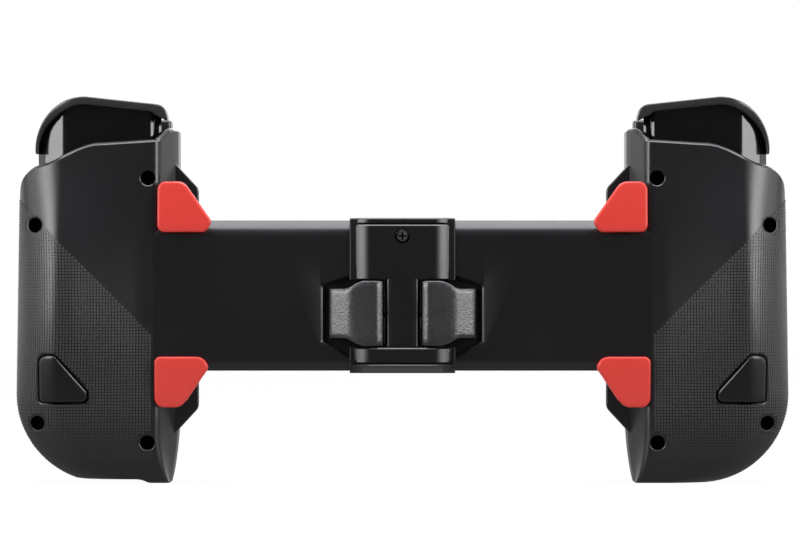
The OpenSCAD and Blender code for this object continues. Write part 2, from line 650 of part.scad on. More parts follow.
// Thumbstick: base, two crossed gimbal pieces, lever and cap
function stick_at(side) = side > 0 ? stick_hi : stick_lo;
module at_stick(side) on_side(side)
    translate([stick_at(side).x, gimbal_y, stick_at(side).y]) children();
base_half = 7;
base_skin = 0.9;
yoke = [5.4, 1.4, 5.6];
rocker = [2.6, 2.2, 3.8];
module cuboid(h) box(-h, h);
module stick_base(side) color("#3a3a3e") at_stick(side) difference() {
    box([-base_half, board_front - gimbal_y, -base_half], [base_half, 3, base_half]);
    box([-base_half + base_skin, board_front - gimbal_y + 1, -base_half + base_skin],
        [base_half - base_skin, 4, base_half - base_skin]);
    rod_x(axle_r + pin_gap, -base_half - 1, base_half + 1, [0, 0]);
}
module stick_yoke(side) color("#e6e2d8") at_stick(side) {
    difference() {
        cuboid(yoke);
        cuboid([3.6, 3, 4.1]);
        rod_z(axle_r + pin_gap, [0, 0], -9, 9);
    }
    for (s = [-1, 1]) rod_x(axle_r, min(s * yoke.x, s * 6.7), max(s * yoke.x, s * 6.7), [0, 0]);
}
module stick_rocker(side) color("#2c2c30") at_stick(side) {
    difference() {
        cuboid(rocker);
        rod_y(lever_r + pin_gap, [0, 0], -5, 5);
    }
    for (s = [-1, 1]) rod_z(axle_r, [0, 0], min(s * rocker.z, s * 5.2), max(s * rocker.z, s * 5.2));
}
lever_top = stick_cap_y - gimbal_y - 0.4;
module stick_lever(side) color("#d0ccc2") at_stick(side) rod_y(lever_r, [0, 0], -2.8, lever_top);
module stick_cap(side) color("#161618") at_stick(side) difference() {
    union() {
        intersection() {
            difference() {
                sphere(stick_dome_r);
                sphere(stick_dome_r - 0.9);
            }
            box([-20, dome_low, -20], [20, 20, 20]);
        }
        rod_y(4.4, [0, 0], stick_dome_r - 1.6, stick_cap_y - gimbal_y + 0.2);
        rod_y(stick_cap_r, [0, 0], stick_cap_y - gimbal_y, stick_cap_y - gimbal_y + stick_cap_t);
    }
    rod_y(lever_r + 0.02, [0, 0], -2, lever_top + 0.1);
    translate([0, stick_cap_y - gimbal_y + stick_cap_t + 24, 0]) sphere(25.2);
}

// Trigger with its lip, arms and barrels, on a pin
function crown(x) = x < crown_x ? crown_z - (crown_x - x) * crown_fall
    : crown_z - crown_b * (1 - sqrt(max(0, 1 - pow((x - crown_x) / crown_a, 2))));
function crown_line(n) = [
    for (i = [0:4]) let (x = lerp(lip_x0 + 1.4, crown_x, i / 4)) [x, crown(x)],
    for (i = [1:n]) let (a = 90 * i / n) [crown_x + crown_a * sin(a), crown_z - crown_b + crown_b * cos(a)]];
function lip_inside(n) = [
    for (i = [n:-1:0]) let (a = 84 * i / n)
        [crown_x + (crown_a - 1.7) * sin(a), crown_z - crown_b + (crown_b - lip_t) * cos(a)],
    for (i = [3:-1:0]) let (x = lerp(lip_x0 + 1.9, crown_x, i / 4)) [x, crown(x) - lip_t]];
function lip_outline() = concat(
    crown_line(9), [[crown_x + crown_a - 0.3, crown_z - crown_b - 0.5]], lip_inside(9),
    [[lip_x0 + 1.2, lip_tail_z], [lip_x0, lip_tail_z], [lip_x0 + 0.3, lip_tail_z + 3]]);
function trigger_body() = concat(crown_line(9),
    [[crown_x + crown_a, grip_h - 15], [wall_x + 13.1, grip_h - 15],
        [wall_x + 13.1, grip_h - 3], [lip_x0 + 1.4, grip_h - 3]]);
module trigger(side) color("#17171a") on_side(side) difference() {
    union() {
        intersection() {
            translate([0, 0, trigger_foot]) linear_extrude(30) polygon(rounded(
                rect([trigger_x0, trigger_rear], [trigger_x1, trigger_front]),
                [1.4, 4.4, 0.6, 0.6]));
            along_y(0, 20) polygon(trigger_body());
        }
        along_y(lip_rear, trigger_front) polygon(lip_outline());
        for (x = barrel_x) {
            along_x(x[0], x[1]) polygon([
                [trigger_front - 1, trigger_pin_at.y - 4], [trigger_front - 1, trigger_pin_at.y + 1.4],
                trigger_pin_at + [0, 1.8], trigger_pin_at - [0, 1.8]]);
            rod_x(barrel_r, x[0], x[1], trigger_pin_at);
        }
    }
    rod_x(trigger_pin_r + pin_gap, wall_x, outer_x, trigger_pin_at);
}
module trigger_pin(side) color("#b9bbbf") on_side(side)
    rod_x(trigger_pin_r, lug_x[0][0], lug_x[1][1], trigger_pin_at);
module trigger_spring(side) color("#a8aaae") on_side(side)
    tube_x(trigger_pin_r + 0.9, trigger_pin_r + 0.15, barrel_x[0][1] + 0.3, barrel_x[1][0] - 0.3,
        trigger_pin_at);

// Bumper along the top of the front shell
bumper_y = [parting_y + 0.3, grip_front - wall - 0.2 - button_gap];
bumper_x = [wall_x + wall + 0.3 + button_gap, shoulder_x - 1.6];
function bumper_line(x) = grip_h - shoulder_drop * smooth((x - level_end) / (shoulder_x - level_end));
module bumper(side) color("#1b1b1e") on_side(side) {
    n = 12;
    low = [for (i = [0:n]) let (x = lerp(bumper_x[0], bumper_x[1], i / n)) [x, bumper_line(x) + 0.1]];
    high = [for (i = [n:-1:0]) let (x = lerp(bumper_x[0], bumper_x[1] - 1.5, i / n))
        [x, bumper_line(x + 1) + bumper_rise - (i == n || i == 0 ? 1.2 : 0)]];
    along_y(bumper_y[0], bumper_y[1]) polygon(concat(low, high));
    leg = bumper_x[1] - 4.5;
    box([leg, 13, bumper_line(leg) - 5], [leg + 3.8, bumper_y[1], bumper_line(leg) - 2.6]);
    box([leg + 0.6, 13, bumper_line(leg) - 3], [leg + 3.4, bumper_y[1] - 0.5, bumper_line(leg + 3.4) + 1]);
}

// Button on the back of a grip, following the palm
module rear_button(side) color("#202023") on_side(side) {
    intersection() {
        along_y(-20, 2.6) polygon(rear_button_outline(0));
        grip_loft(-0.6);
    }
    rod_y(2.2, [outer_x - 16, 29], 2.5, board_y - 2.6);
    along_y(2.4, 3.4) polygon(rear_button_outline(1));
}

// Direction pad on a ball pivot
module dpad() color("#19191c") placed() {
    along_y(dpad_pivot_y + 2.4, dpad_front) dpad_cross(0);
    rod_y(13, dpad_at, dpad_pivot_y + 1.8, dpad_pivot_y + 2.9);
    translate([dpad_at.x, dpad_pivot_y, dpad_at.y]) sphere(dpad_ball_r);
    rod_y(2.2, dpad_at, dpad_pivot_y, dpad_pivot_y + 2.5);
}
module dpad_pivot() color("#47474b") placed() difference() {
    rod_y(4.3, dpad_at, board_front + 0.7, dpad_pivot_y - 0.3);
    translate([dpad_at.x, dpad_pivot_y, dpad_at.y]) sphere(dpad_ball_r + 0.1);
}

// Round push button: cap, flange behind the shell and stem above its switch
module push_button(at, r, foot) {
    rod_y(r, at, grip_front - wall - 0.2, grip_front + button_rise);
    rod_y(r + flange_lip, at, grip_front - wall - flange_t, grip_front - wall - 0.1);
    rod_y(r - 0.8, at, foot, grip_front - wall - 1);
}
module menu_style_button(side, at) color("#19191c") on_side(side) push_button(at, menu_r, board_front + 2.2);
module face_button(a) color("#19191c") on_side(-1) push_button(face_spot(a), face_r, board_front + 2.2);

// Plug that goes into the phone, and the charging socket
module phone_plug() color("#b4b6ba") on_side(-1) {
    box([wall_x - pad_t + 0.2, plug_y - 2.6, plug_z - 6], [wall_x + wall + 3, plug_y + 2.6, plug_z + 6]);
    along_x(wall_x - pad_t - 6.4, wall_x) polygon(rounded(
        rect([plug_y - 1.25, plug_z - 4.15], [plug_y + 1.25, plug_z + 4.15]),
        [1.2, 1.2, 1.2, 1.2], 4));
}
module port_block(g, z0, z1)
    box([port_x - port_in.x - g, port_y - port_in.y - g, z0],
        [port_x + port_in.x + g, port_y + port_in.y + g, z1]);
module charge_port() color("#b4b6ba") on_side(-1) difference() {
    port_block(port_skin, port_notch, port_end + 0.5);
    port_block(0, -1, port_end - 0.9);
    port_block(0, port_end, port_end + 1.1);
}

slide_rail();
collar_rear();
collar_front();
collar_screw();
pinion_pin();
pinion();
flex_cable();
release_springs();
release_button(1);  // left_release_button
release_button(-1);  // right_release_button
rear_shell(1);  // left_rear_shell
front_shell(1);  // left_front_shell
arm_cover(1);  // left_arm_cover
corner_pads(1);  // left_corner_pads
end_pad(1);  // left_end_pad
rack();  // left_rack
pull_spring();  // left_pull_spring
circuit_board(1);  // left_circuit_board
case_screws(1);  // left_case_screws
stick_base(1);  // left_stick_base
stick_yoke(1);  // left_stick_yoke
stick_rocker(1);  // left_stick_rocker
stick_lever(1);  // left_stick_lever
stick_cap(1);  // left_stick_cap
trigger(1);  // left_trigger
trigger_pin(1);  // left_trigger_pin
trigger_spring(1);  // left_trigger_spring
bumper(1);  // left_bumper
rear_button(1);  // left_rear_button
dpad();
dpad_pivot();
menu_style_button(1, menu_at);  // view_button
menu_style_button(1, home_at);  // capture_button
rear_shell(-1);  // right_rear_shell
front_shell(-1);  // right_front_shell
arm_cover(-1);  // right_arm_cover
corner_pads(-1);  // right_corner_pads
end_pad(-1);  // right_end_pad
half_turn() rack();  // right_rack
half_turn() pull_spring();  // right_pull_spring
circuit_board(-1);  // right_circuit_board
case_screws(-1);  // right_case_screws
stick_base(-1);  // right_stick_base
stick_yoke(-1);  // right_stick_yoke
stick_rocker(-1);  // right_stick_rocker
stick_lever(-1);  // right_stick_lever
stick_cap(-1);  // right_stick_cap
trigger(-1);  // right_trigger
trigger_pin(-1);  // right_trigger_pin
trigger_spring(-1);  // right_trigger_spring
bumper(-1);  // right_bumper
rear_button(-1);  // right_rear_button
face_button(90);  // face_button_up
face_button(270);  // face_button_down
face_button(0);  // face_button_left
face_button(180);  // face_button_right
menu_style_button(-1, menu_at);  // menu_button
menu_style_button(-1, home_at);  // home_button
phone_plug();
charge_port();
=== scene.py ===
import bmesh
import bpy
import numpy as np
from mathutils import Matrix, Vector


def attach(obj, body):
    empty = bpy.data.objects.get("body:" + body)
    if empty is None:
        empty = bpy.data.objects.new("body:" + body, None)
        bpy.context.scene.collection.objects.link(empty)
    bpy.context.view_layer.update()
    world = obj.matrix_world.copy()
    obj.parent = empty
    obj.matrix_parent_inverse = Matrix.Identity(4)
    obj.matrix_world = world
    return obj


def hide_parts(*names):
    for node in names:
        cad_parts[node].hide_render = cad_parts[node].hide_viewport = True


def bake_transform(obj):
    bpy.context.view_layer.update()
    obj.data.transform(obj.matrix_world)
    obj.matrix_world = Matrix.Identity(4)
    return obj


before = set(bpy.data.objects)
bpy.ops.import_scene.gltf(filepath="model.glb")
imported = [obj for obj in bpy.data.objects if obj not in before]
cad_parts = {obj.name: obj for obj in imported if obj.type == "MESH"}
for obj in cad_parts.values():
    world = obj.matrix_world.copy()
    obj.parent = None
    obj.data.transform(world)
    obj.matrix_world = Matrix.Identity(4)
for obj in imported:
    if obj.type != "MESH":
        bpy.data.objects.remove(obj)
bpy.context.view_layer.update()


# Studio. The controller stands on a pale sweep and is seen square on from the back.
# A wide softbox hangs above it, a lamp and a card stand at each side,
# and one more lamp lights the side away from the camera.
class Wire:
    """One socket of a finish's nodes. Arithmetic on it adds Math nodes to the same finish."""

    def __init__(self, tree, socket=None):
        self.tree, self.socket = tree, socket

    def node(self, kind, settings=None, sockets=None, out=0):
        """Adds a node of that kind, sets its settings first, then its sockets, and gives its output."""
        made = self.tree.nodes.new("ShaderNode" + kind)
        for key, value in (settings or {}).items():
            setattr(made, key, value)
        for key, value in (sockets or {}).items():
            if isinstance(value, Wire):
                self.tree.links.new(value.socket, made.inputs[key])
            else:
                made.inputs[key].default_value = value
        return Wire(self.tree, made.outputs[out] if len(made.outputs) else None)

    def out(self, key):
        """Another output of the same node."""
        return Wire(self.tree, self.socket.node.outputs[key])

    def math(self, operation, *values):
        """One Math node on numbers or wires."""
        return self.node("Math", {"operation": operation}, dict(enumerate(values)))

    def __add__(self, other):
        return self.math("ADD", self, other)

    __radd__ = __add__

    def __sub__(self, other):
        return self.math("SUBTRACT", self, other)

    def __rsub__(self, other):
        return self.math("SUBTRACT", other, self)

    def __mul__(self, other):
        return self.math("MULTIPLY", self, other)

    __rmul__ = __mul__

    def __truediv__(self, other):
        return self.math("DIVIDE", self, other)

    def __rtruediv__(self, other):
        return self.math("DIVIDE", other, self)

    def __abs__(self):
        return self.math("ABSOLUTE", self)

    def step(self, low, high):
        """0 at low, 1 at high, with an eased run between them."""
        return self.node("MapRange", {"interpolation_type": "SMOOTHSTEP"},
                         {"Value": self, "From Min": low, "From Max": high})

    def blend(self, dark, light):
        """Mixes two colours by this value."""
        return self.node("Mix", {"data_type": "RGBA"}, {0: self, 6: dark, 7: light}, out=2)

    def noise(self, scale, detail, rough=0.5):
        """Noise over this place, with scale cells to the metre."""
        sockets = {"Vector": self, "Scale": scale, "Detail": detail, "Roughness": rough}
        return self.node("TexNoise", None, sockets)

    def relief(self, height):
        """A normal bent by a height in metres."""
        return self.node("Bump", None, {"Height": height, "Distance": 1.0, "Strength": 1.0})

    def surface(self, sockets):
        """Ends the finish in one principled surface with these sockets."""
        self.node("OutputMaterial", None, {"Surface": self.node("BsdfPrincipled", None, sockets)})


def open_tree(owner):
    """A wire into the owner's nodes, which start empty."""
    owner.use_nodes = True
    owner.node_tree.nodes.clear()
    return Wire(owner.node_tree)


def added(name, data):
    """A new object of that data, put into the scene."""
    made = bpy.data.objects.new(name, data)
    bpy.context.scene.collection.objects.link(made)
    return made


def softbox(name, place, aim, size, watts, colour=(1, 1, 1)):
    """A rectangular lamp at a place, turned to look at its aim."""
    lamp = bpy.data.lights.new(name, "AREA")
    lamp.shape, lamp.size, lamp.size_y = "RECTANGLE", *size
    lamp.energy, lamp.color = watts, colour
    box = added(name, lamp)
    box.location = place
    box.rotation_euler = Vector(np.subtract(aim, place)).to_track_quat("-Z", "Y").to_euler()


softbox("top_softbox", (0, -0.05, 0.85), (0, -0.05, 0.06), (1.3, 0.46), 15, (0.95, 0.94, 1))
softbox("left_softbox", (0.82, -0.48, 0.33), (0.06, 0, 0.08), (0.38, 0.64), 6.6)
softbox("right_softbox", (-0.82, -0.48, 0.33), (-0.06, 0, 0.08), (0.38, 0.64), 6.6)
softbox("left_card", (1.1, -0.02, 0.3), (0.06, 0, 0.08), (0.5, 0.7), 1.8)
softbox("right_card", (-1.1, -0.02, 0.3), (-0.06, 0, 0.08), (0.5, 0.7), 1.8)
softbox("front_softbox", (0.25, 1.3, 0.9), (0, 0, 0.05), (1.2, 0.8), 14)

world = bpy.data.worlds.new("studio")
bpy.context.scene.world = world
tree = open_tree(world)
sky = tree.node("LightPath") * 0.92 + 0.08
backdrop = tree.node("Background", None, {"Color": (1, 1, 1, 1), "Strength": sky})
tree.node("OutputWorld", None, {"Surface": backdrop})

sweep_half = 6
sweep_run = [(-0.3, 0), (0, 0), (1.8, 0), (2.3, 0.06), (2.8, 0.26), (3.2, 0.7), (3.32, 1.4), (3.32, 4.4)]
sweep_mesh = bpy.data.meshes.new("sweep")
sweep_mesh.from_pydata(
    [(x, y, z) for y, z in sweep_run for x in (-sweep_half, sweep_half)], [],
    [(2 * i, 2 * i + 1, 2 * i + 3, 2 * i + 2) for i in range(len(sweep_run) - 1)])
sweep = added("sweep", sweep_mesh)
paper = bpy.data.materials.new("paper_sweep")
tree = open_tree(paper)
depth = tree.node("SeparateXYZ", None, {0: tree.node("TexCoord", out="Object")}, out="Y")
ray = tree.node("LightPath")
direct, mirrored = ray.math("MAXIMUM", ray, ray.out("Is Transmission Ray")), ray.out("Is Glossy Ray")
glow = depth.step(-0.12, 0.08) * 0.3 + depth.step(0.3, 1.2) * 0.85 + 0.1
white = depth.step(1.2, 2.2) * 0.05 + 1.03
lit_share = ray.math("MAXIMUM", direct * 0.93, mirrored)
matt = tree.node("BsdfDiffuse", None, {"Color": (0.42, 0.42, 0.42, 1)})
lit = tree.node("Emission", None, {"Color": (1, 1, 1, 1), "Strength": direct * white + mirrored * glow})
mixed = tree.node("MixShader", None, {0: lit_share, 1: matt, 2: lit})
tree.node("OutputMaterial", None, {"Surface": mixed})
sweep_mesh.materials.append(paper)

lens = bpy.data.cameras.new("camera")
lens.lens, lens.sensor_width, lens.clip_start = 152.9, 36, 0.02
lens.shift_x, lens.shift_y = -0.0031, 0.0344
camera = added("camera", lens)
camera.location, camera.rotation_euler = (0, -0.962, 0.0527), (np.pi / 2, 0, 0)
bpy.context.scene.camera = camera
bpy.context.scene.view_settings.view_transform = "Standard"


# Rear shells. Each is one black moulding: the back of a grip, the hollow arm that runs on the rail
# and the ledge that the phone leans on. Its lower palm is moulded with a field of small square studs.
halves = ((1, "left"), (-1, "right"))
wall_x, outer_x, parting, side_depth = 63.3, 108.8, 10.5, 9
bridge_z, depth_origin = 52.7, 12.0
foot_round, face_round, grip_wall = 25, 20, 1.2
palm_ease, bend_power = 0.2, 0.775


def rounding(z, r):
    """Share of full size at height z over a quarter circle of radius r."""
    return np.sqrt(np.clip(1 - (np.clip(r - z, 0, None) / r) ** 2, 0, 1))


def ease(t):
    """An S-curve from 0 at t = 0 to 1 at t = 1."""
    t = np.clip(t, 0, 1)
    return t * t * (3 - 2 * t)


def inner_at(z):
    """Inner wall at the parting line, which flares out a little at the foot."""
    return wall_x + 2.2 * np.clip(1 - z / 22, 0, None) ** 2


def outer_at(z):
    """Outer side: a 25 mm corner at the foot, then a slight taper to the top."""
    taper = 0.9 * np.clip(z - foot_round, 0, None) / 60
    return outer_x - taper - foot_round * (1 - rounding(z, foot_round))


def face_at(z):
    """Depth of the flat back, which rounds forward at the foot."""
    return 5 - 5 * rounding(z, face_round)


def swell_at(z):
    """Depth of the palm's crest: a bell that stands 7 mm behind the flat back."""
    bell = 7 * np.clip(1 - ((z - 48) / 46) ** 2, 0, None) ** 2
    return 5 - (bell + 5) * rounding(z, face_round)


def flank_at(z, y):
    """The inner wall leans outwards by 5.2 mm from the parting line to the back, and less at the foot."""
    return inner_at(z) + 5.2 * rounding(z, 16) ** 1.5 * np.clip(1 - y / 10.2, 0, None)


def palm_span(z):
    """Where the palm starts to rise, and where its outer round starts."""
    start = flank_at(z, face_at(z)) + 1.6
    return start, outer_at(z) - np.minimum(12.6, (outer_at(z) - start) * 0.62)


def palm_depth(x, z):
    """Depth of the back at x, z: an even slope with soft ends up to the crest, then a superellipse
    round to the side."""
    start, crest = palm_span(z)
    face, swell = face_at(z), swell_at(z)
    t = np.clip((x - start) / (crest - start), 0, 1)
    foot, head = t * t / (2 * palm_ease), 1 - palm_ease - (1 - t) ** 2 / (2 * palm_ease)
    climb = np.where(t < palm_ease, foot, np.where(t > 1 - palm_ease, head, t - palm_ease / 2))
    rise = face + (swell - face) * climb / (1 - palm_ease)
    across = np.clip((x - crest) / (outer_at(z) - crest), 0, 1) ** bend_power
    bend = side_depth - (side_depth - swell) * np.sqrt(1 - across ** 2) ** (1 / bend_power)
    return np.where(x < crest, rise, bend)


def top_edge(x):
    """Top of the shells: a cheek beside the trigger, a gentle run, a fall and a round shoulder."""
    bend_x, bend_r = 101.3, 6.5
    gentle = 95.6 + 0.9 * np.clip((84 - x) / 14, 0, 1)
    edge = gentle + 3.4 * (1 - ease((x - 64.3) / 4.6)) - 6.2 * ease((x - 84.2) / 18.6) ** 1.12
    shoulder = 82.9 + np.sqrt(np.clip(bend_r ** 2 - np.clip(x - bend_x, 0, bend_r) ** 2, 0, None))
    return np.where(x > bend_x, np.minimum(edge, shoulder), edge)


def rear_line(part, t, z):
    """x and depth of a rear section at height z: leaning wall, round edge, rising palm, outer round,
    straight side."""
    start, crest = palm_span(z)
    low = face_at(z) + 1.8
    if part == "wall":
        y = parting + (low - parting) * t
        return flank_at(z, y), y
    if part == "edge":
        a, b, c = (1 - t) ** 2, 2 * t * (1 - t), t ** 2
        return (a * flank_at(z, low) + b * flank_at(z, face_at(z)) + c * start,
                a * low + b * face_at(z) + c * face_at(z))
    if part == "palm":
        x = start + (crest - start) * t
        return x, palm_depth(x, z)
    if part == "round":
        x = crest + (outer_at(z) - crest) * np.sin(t * np.pi / 2) ** (1 / bend_power)
        fall = np.clip(np.cos(t * np.pi / 2), 0, 1) ** (1 / bend_power)
        return x, side_depth - (side_depth - swell_at(z)) * fall
    return outer_at(z) + 0 * t, side_depth + (parting - side_depth) * t + 0 * z


def spaced(**counts):
    """The parts of a section with the steps along each, without the point shared with the part before."""
    return [(part, np.linspace(0, 1, n)[min(k, 1):]) for k, (part, n) in enumerate(counts.items())]


def section(line, parts, z):
    """All columns of a section line at the heights z, one row of heights for each row of points."""
    ends = np.cumsum([0] + [len(t) for _, t in parts])
    drawn = [line(part, t, z[:, a:b]) for (part, t), a, b in zip(parts, ends, ends[1:])]
    return tuple(np.concatenate([d[k] for d in drawn], 1) for k in (0, 1))


def grip_skin(line, parts, turns, foot_line, rows=64):
    """The two sides of a grip's wall, as rows from the foot to the rim. A row is a section; the foot's
    rows run on to the parting line, and the rim's rows turn in over a 0.9 mm chamfer. The inner side
    lies a wall's width further in along one direction for each column, an angle from outwards to the
    front, and is raised at the foot."""
    n = sum(len(t) for _, t in parts)
    turn = np.radians(np.concatenate([a + (b - a) * t for (_, t), (a, b) in zip(parts, turns)]))
    inward, up = np.stack([np.cos(turn), np.sin(turn), 0 * turn], -1), np.array([0, 0, 1])
    # The rim's height depends on x, and x on the height: eight rounds settle both.
    top = np.full((1, n), 92.0)
    for _ in range(8):
        top = top_edge(section(line, parts, top)[0])
    bend = np.linspace(0, np.pi / 2, 18)
    z = np.concatenate([np.repeat(face_round * (1 - np.cos(bend))[:, None], n, 1),
                        face_round + (top - 0.87 - face_round) * np.linspace(0, 1, rows)[1:, None]])
    grid = np.stack([*section(line, parts, z), z], -1)
    foot, share = np.repeat(grid[:1], 3, 0), np.array([1, 0.6, 0.2])
    foot[..., 0] += 0.06 * share[:, None] * np.cos(turn)
    foot[..., 1] += (foot_line - foot[..., 1]) * share[:, None]
    grid = np.concatenate([foot, grid])
    forward = np.concatenate([1 - share, np.ones(len(z))])
    lift = np.concatenate([[1, 1, 1], np.cos(bend), np.zeros(rows - 1)])
    move = inward * np.stack([0 * lift + 1, forward, 0 * lift], -1)[:, None]
    inner = grid + grip_wall * (move + lift[:, None, None] * up)
    rim = np.repeat(np.concatenate([grid[-1:, :, :2], top[..., None]], -1), 5, 0)
    chamfer = np.array([(0.05, -0.87), (0.17, -0.7), (0.7, -0.17), (0.87, -0.05), (1.0, 0)])
    drawn_in, raised = chamfer.T[..., None, None]
    within = np.array([-0.75, -0.55, -0.35, -0.2, -0.06])[:, None, None]
    return (np.concatenate([grid, rim + drawn_in * inward + raised * up]),
            np.concatenate([inner, rim + grip_wall * inward + within * up]))


def skin(points, closed=False, caps=False):
    """Turns a grid of points into points and four-sided faces. A closed grid joins its last column to its
    first, and caps close the first and the last row with one face each."""
    m, n = points.shape[:2]
    at = np.arange(m * n).reshape(m, n)
    to = np.concatenate([at, at[:, :1]], 1) if closed else at
    faces = np.stack([to[:-1, :-1], to[:-1, 1:], to[1:, 1:], to[1:, :-1]], -1).reshape(-1, 4).tolist()
    return points.reshape(-1, 3), faces + ([at[0, ::-1].tolist(), at[-1].tolist()] if caps else [])


def solid(rows):
    """A stack of closed rows, with a face on the first and on the last."""
    return skin(np.stack(rows), closed=True, caps=True)


def walled(outer, inner):
    """Two grids of one size as the two sides of a wall, joined along their four borders."""
    m, n = outer.shape[:2]
    at = np.arange(m * n).reshape(m, n)
    rim = np.concatenate([at[0, :-1], at[:-1, -1], at[-1, :0:-1], at[:0:-1, 0]])
    band = np.stack([np.roll(rim, -1), rim, rim + m * n, np.roll(rim, -1) + m * n], -1)
    faces = np.array(skin(outer)[1])
    faces = np.concatenate([faces, faces[:, ::-1] + m * n, band])
    return np.concatenate([outer, inner]).reshape(-1, 3), faces.tolist()


def outward(points, faces):
    """The faces, all turned over if the space between them and a point on the parting plane is negative."""
    points = points - points.mean(0) * (1, 0, 1)
    space = 0
    for count in {len(face) for face in faces}:
        p = points[[face for face in faces if len(face) == count]]
        space += np.sum(p[:, :1] * np.cross(p[:, 1:-1], p[:, 2:]))
    return faces if space > 0 else [face[::-1] for face in faces]


def mould(name, skins, side=1, wall=0, cuts=(), sharp=38):
    """Joins skins, given in mm with x outwards, into one mesh in the frame's metres. A wall thickens it
    towards the parting plane, and cuts are taken out of it."""
    starts = np.cumsum([0] + [len(p) for p, _ in skins])
    skins = [((p - (0, depth_origin, 0)) * (side, 1, 1), faces) for p, faces in skins]
    faces = [[a + start for a in face] for (p, fs), start in zip(skins, starts) for face in outward(p, fs)]
    mesh = bpy.data.meshes.new(name)
    mesh.from_pydata((np.concatenate([p for p, _ in skins]) * 0.001).tolist(), [], faces)
    work = bmesh.new()
    work.from_mesh(mesh)
    bmesh.ops.remove_doubles(work, verts=work.verts, dist=2e-6)
    work.to_mesh(mesh)
    work.free()
    piece = added(name, mesh)
    if wall:
        thick = piece.modifiers.new("wall", "SOLIDIFY")
        thick.thickness, thick.offset, thick.use_quality_normals = wall * 0.001, -1, True
    if cuts:
        cutter = mould(name + "_cutter", list(cuts), side)
        cut = piece.modifiers.new("cut", "BOOLEAN")
        cut.operation, cut.solver, cut.object = "DIFFERENCE", "MANIFOLD", cutter
    if piece.modifiers:
        shaped = piece.evaluated_get(bpy.context.evaluated_depsgraph_get())
        piece.data = bpy.data.meshes.new_from_object(shaped)
        piece.modifiers.clear()
        bpy.data.meshes.remove(mesh)
        piece.data.name = name
    if cuts:
        bpy.data.objects.remove(cutter)
    piece.data.shade_smooth()
    piece.data.set_sharp_from_angle(angle=np.radians(sharp))
    return piece


def settle(piece, body, slot, finish, *nodes):
    """Gives a piece its finish, its body and the solids that it stands for; the slot is not used."""
    piece.data.materials.clear()
    piece.data.materials.append(finish)
    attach(piece, body)
    if nodes:
        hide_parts(*nodes)


def both(name, skins, body, slot, finish, *nodes, **rest):
    """Moulds and settles a piece on the left half and its mirror image on the right."""
    for side, half in halves:
        piece = mould(f"{half}_{name}", skins, side, **rest)
        settle(piece, f"{half}_{body}", slot, finish, *(f"{half}_{node}" for node in nodes))


def level(outline, y):
    """An outline in x and z laid at a depth."""
    return np.insert(np.array(outline, float), 1, y, axis=1)


def ring_of(r, place, steps=40):
    """A circle of points in x and z."""
    turn = np.linspace(0, 2 * np.pi, steps, endpoint=False)
    return np.stack([place[0] + r * np.cos(turn), place[1] + r * np.sin(turn)], -1)


def lathe(profile, place, steps=40):
    """A profile of radius and depth turned round an axis along the depth at x, z."""
    r, y = np.array(profile, float).T[:, :, None]
    turn = np.linspace(0, 2 * np.pi, steps, endpoint=False)
    return np.stack([place[0] + r * np.cos(turn), y + 0 * turn, place[1] + r * np.sin(turn)], -1)


def unit(v):
    """Vectors divided by their own length."""
    return v / np.linalg.norm(v, axis=-1, keepdims=True)


def rounded(corners, radii, steps=7):
    """A polygon whose corners are arcs: each arc's centre lies on the corner's bisector, as far away as
    the radius divided by the sine of half the angle."""
    p, r = np.array(corners, float), np.array(radii, float)[:, None]
    u, v = unit(np.roll(p, 1, 0) - p), unit(np.roll(p, -1, 0) - p)
    half = np.arccos(np.sum(u * v, 1, keepdims=True)) / 2
    centre = p + unit(u + v) * r / np.sin(half)
    first, last = p + u * r / np.tan(half) - centre, p + v * r / np.tan(half) - centre
    start = np.arctan2(first[:, 1:], first[:, :1])
    sweep = (np.arctan2(last[:, 1:], last[:, :1]) - start + np.pi) % (2 * np.pi) - np.pi
    turn = start + sweep * np.linspace(0, 1, steps)
    return (centre[:, None] + r[:, None] * np.stack([np.cos(turn), np.sin(turn)], -1)).reshape(-1, 2)


def oblong(x0, z0, x1, z1, radii=(), steps=7):
    """A rectangle with round corners, or with sharp ones where no radii are given."""
    corners = np.array([(x0, z0), (x1, z0), (x1, z1), (x0, z1)], float)
    return rounded(corners, radii * (4 // len(radii)), steps) if radii else corners


def dense(outline, step):
    """The same closed outline with points at equal steps along it."""
    ring = np.concatenate([outline, outline[:1]])
    run = np.concatenate([[0], np.cumsum(np.linalg.norm(np.diff(ring, axis=0), axis=1))])
    at = np.linspace(0, run[-1], max(12, int(run[-1] / step)), endpoint=False)
    return np.stack([np.interp(at, run, ring[:, 0]), np.interp(at, run, ring[:, 1])], -1)


def inset(outline, distance):
    """The outline moved inwards along its normals."""
    run, after = np.roll(outline, -1, 0) - np.roll(outline, 1, 0), np.roll(outline, -1, 0)
    area = np.sum(outline[:, 0] * after[:, 1] - after[:, 0] * outline[:, 1])
    return outline + np.sign(area) * distance * unit(np.stack([-run[:, 1], run[:, 0]], -1))


def slab(outline, back, front, edge, rings=5, infill=1):
    """An outline in x and z carried from its front to its back face, with a quarter round of radius edge
    at the back. Back is a depth, or a function of x and z; infill adds rings towards the middle so that
    the face can follow it."""
    depth = back if callable(back) else lambda x, z: back + 0 * x
    turn = np.linspace(0, np.pi / 2, rings)
    lines = [(inset(outline, edge * (1 - np.cos(a))), edge * (1 - np.sin(a))) for a in turn]
    last, middle = lines[-1][0], outline.mean(0)
    lines += [(middle + (last - middle) * s, 0) for s in np.linspace(1, 0, infill + 1)[1:-1]]
    return solid([level(outline, front)] + [level(p, depth(p[:, 0], p[:, 1]) + y) for p, y in lines])


def bore(outline, steps, axis=1):
    """An outline carried along x, depth or z. Each step is a place on that axis and how far the outline
    grows there."""
    return solid([np.insert(inset(outline, -grow), axis, place, axis=1) for place, grow in steps])


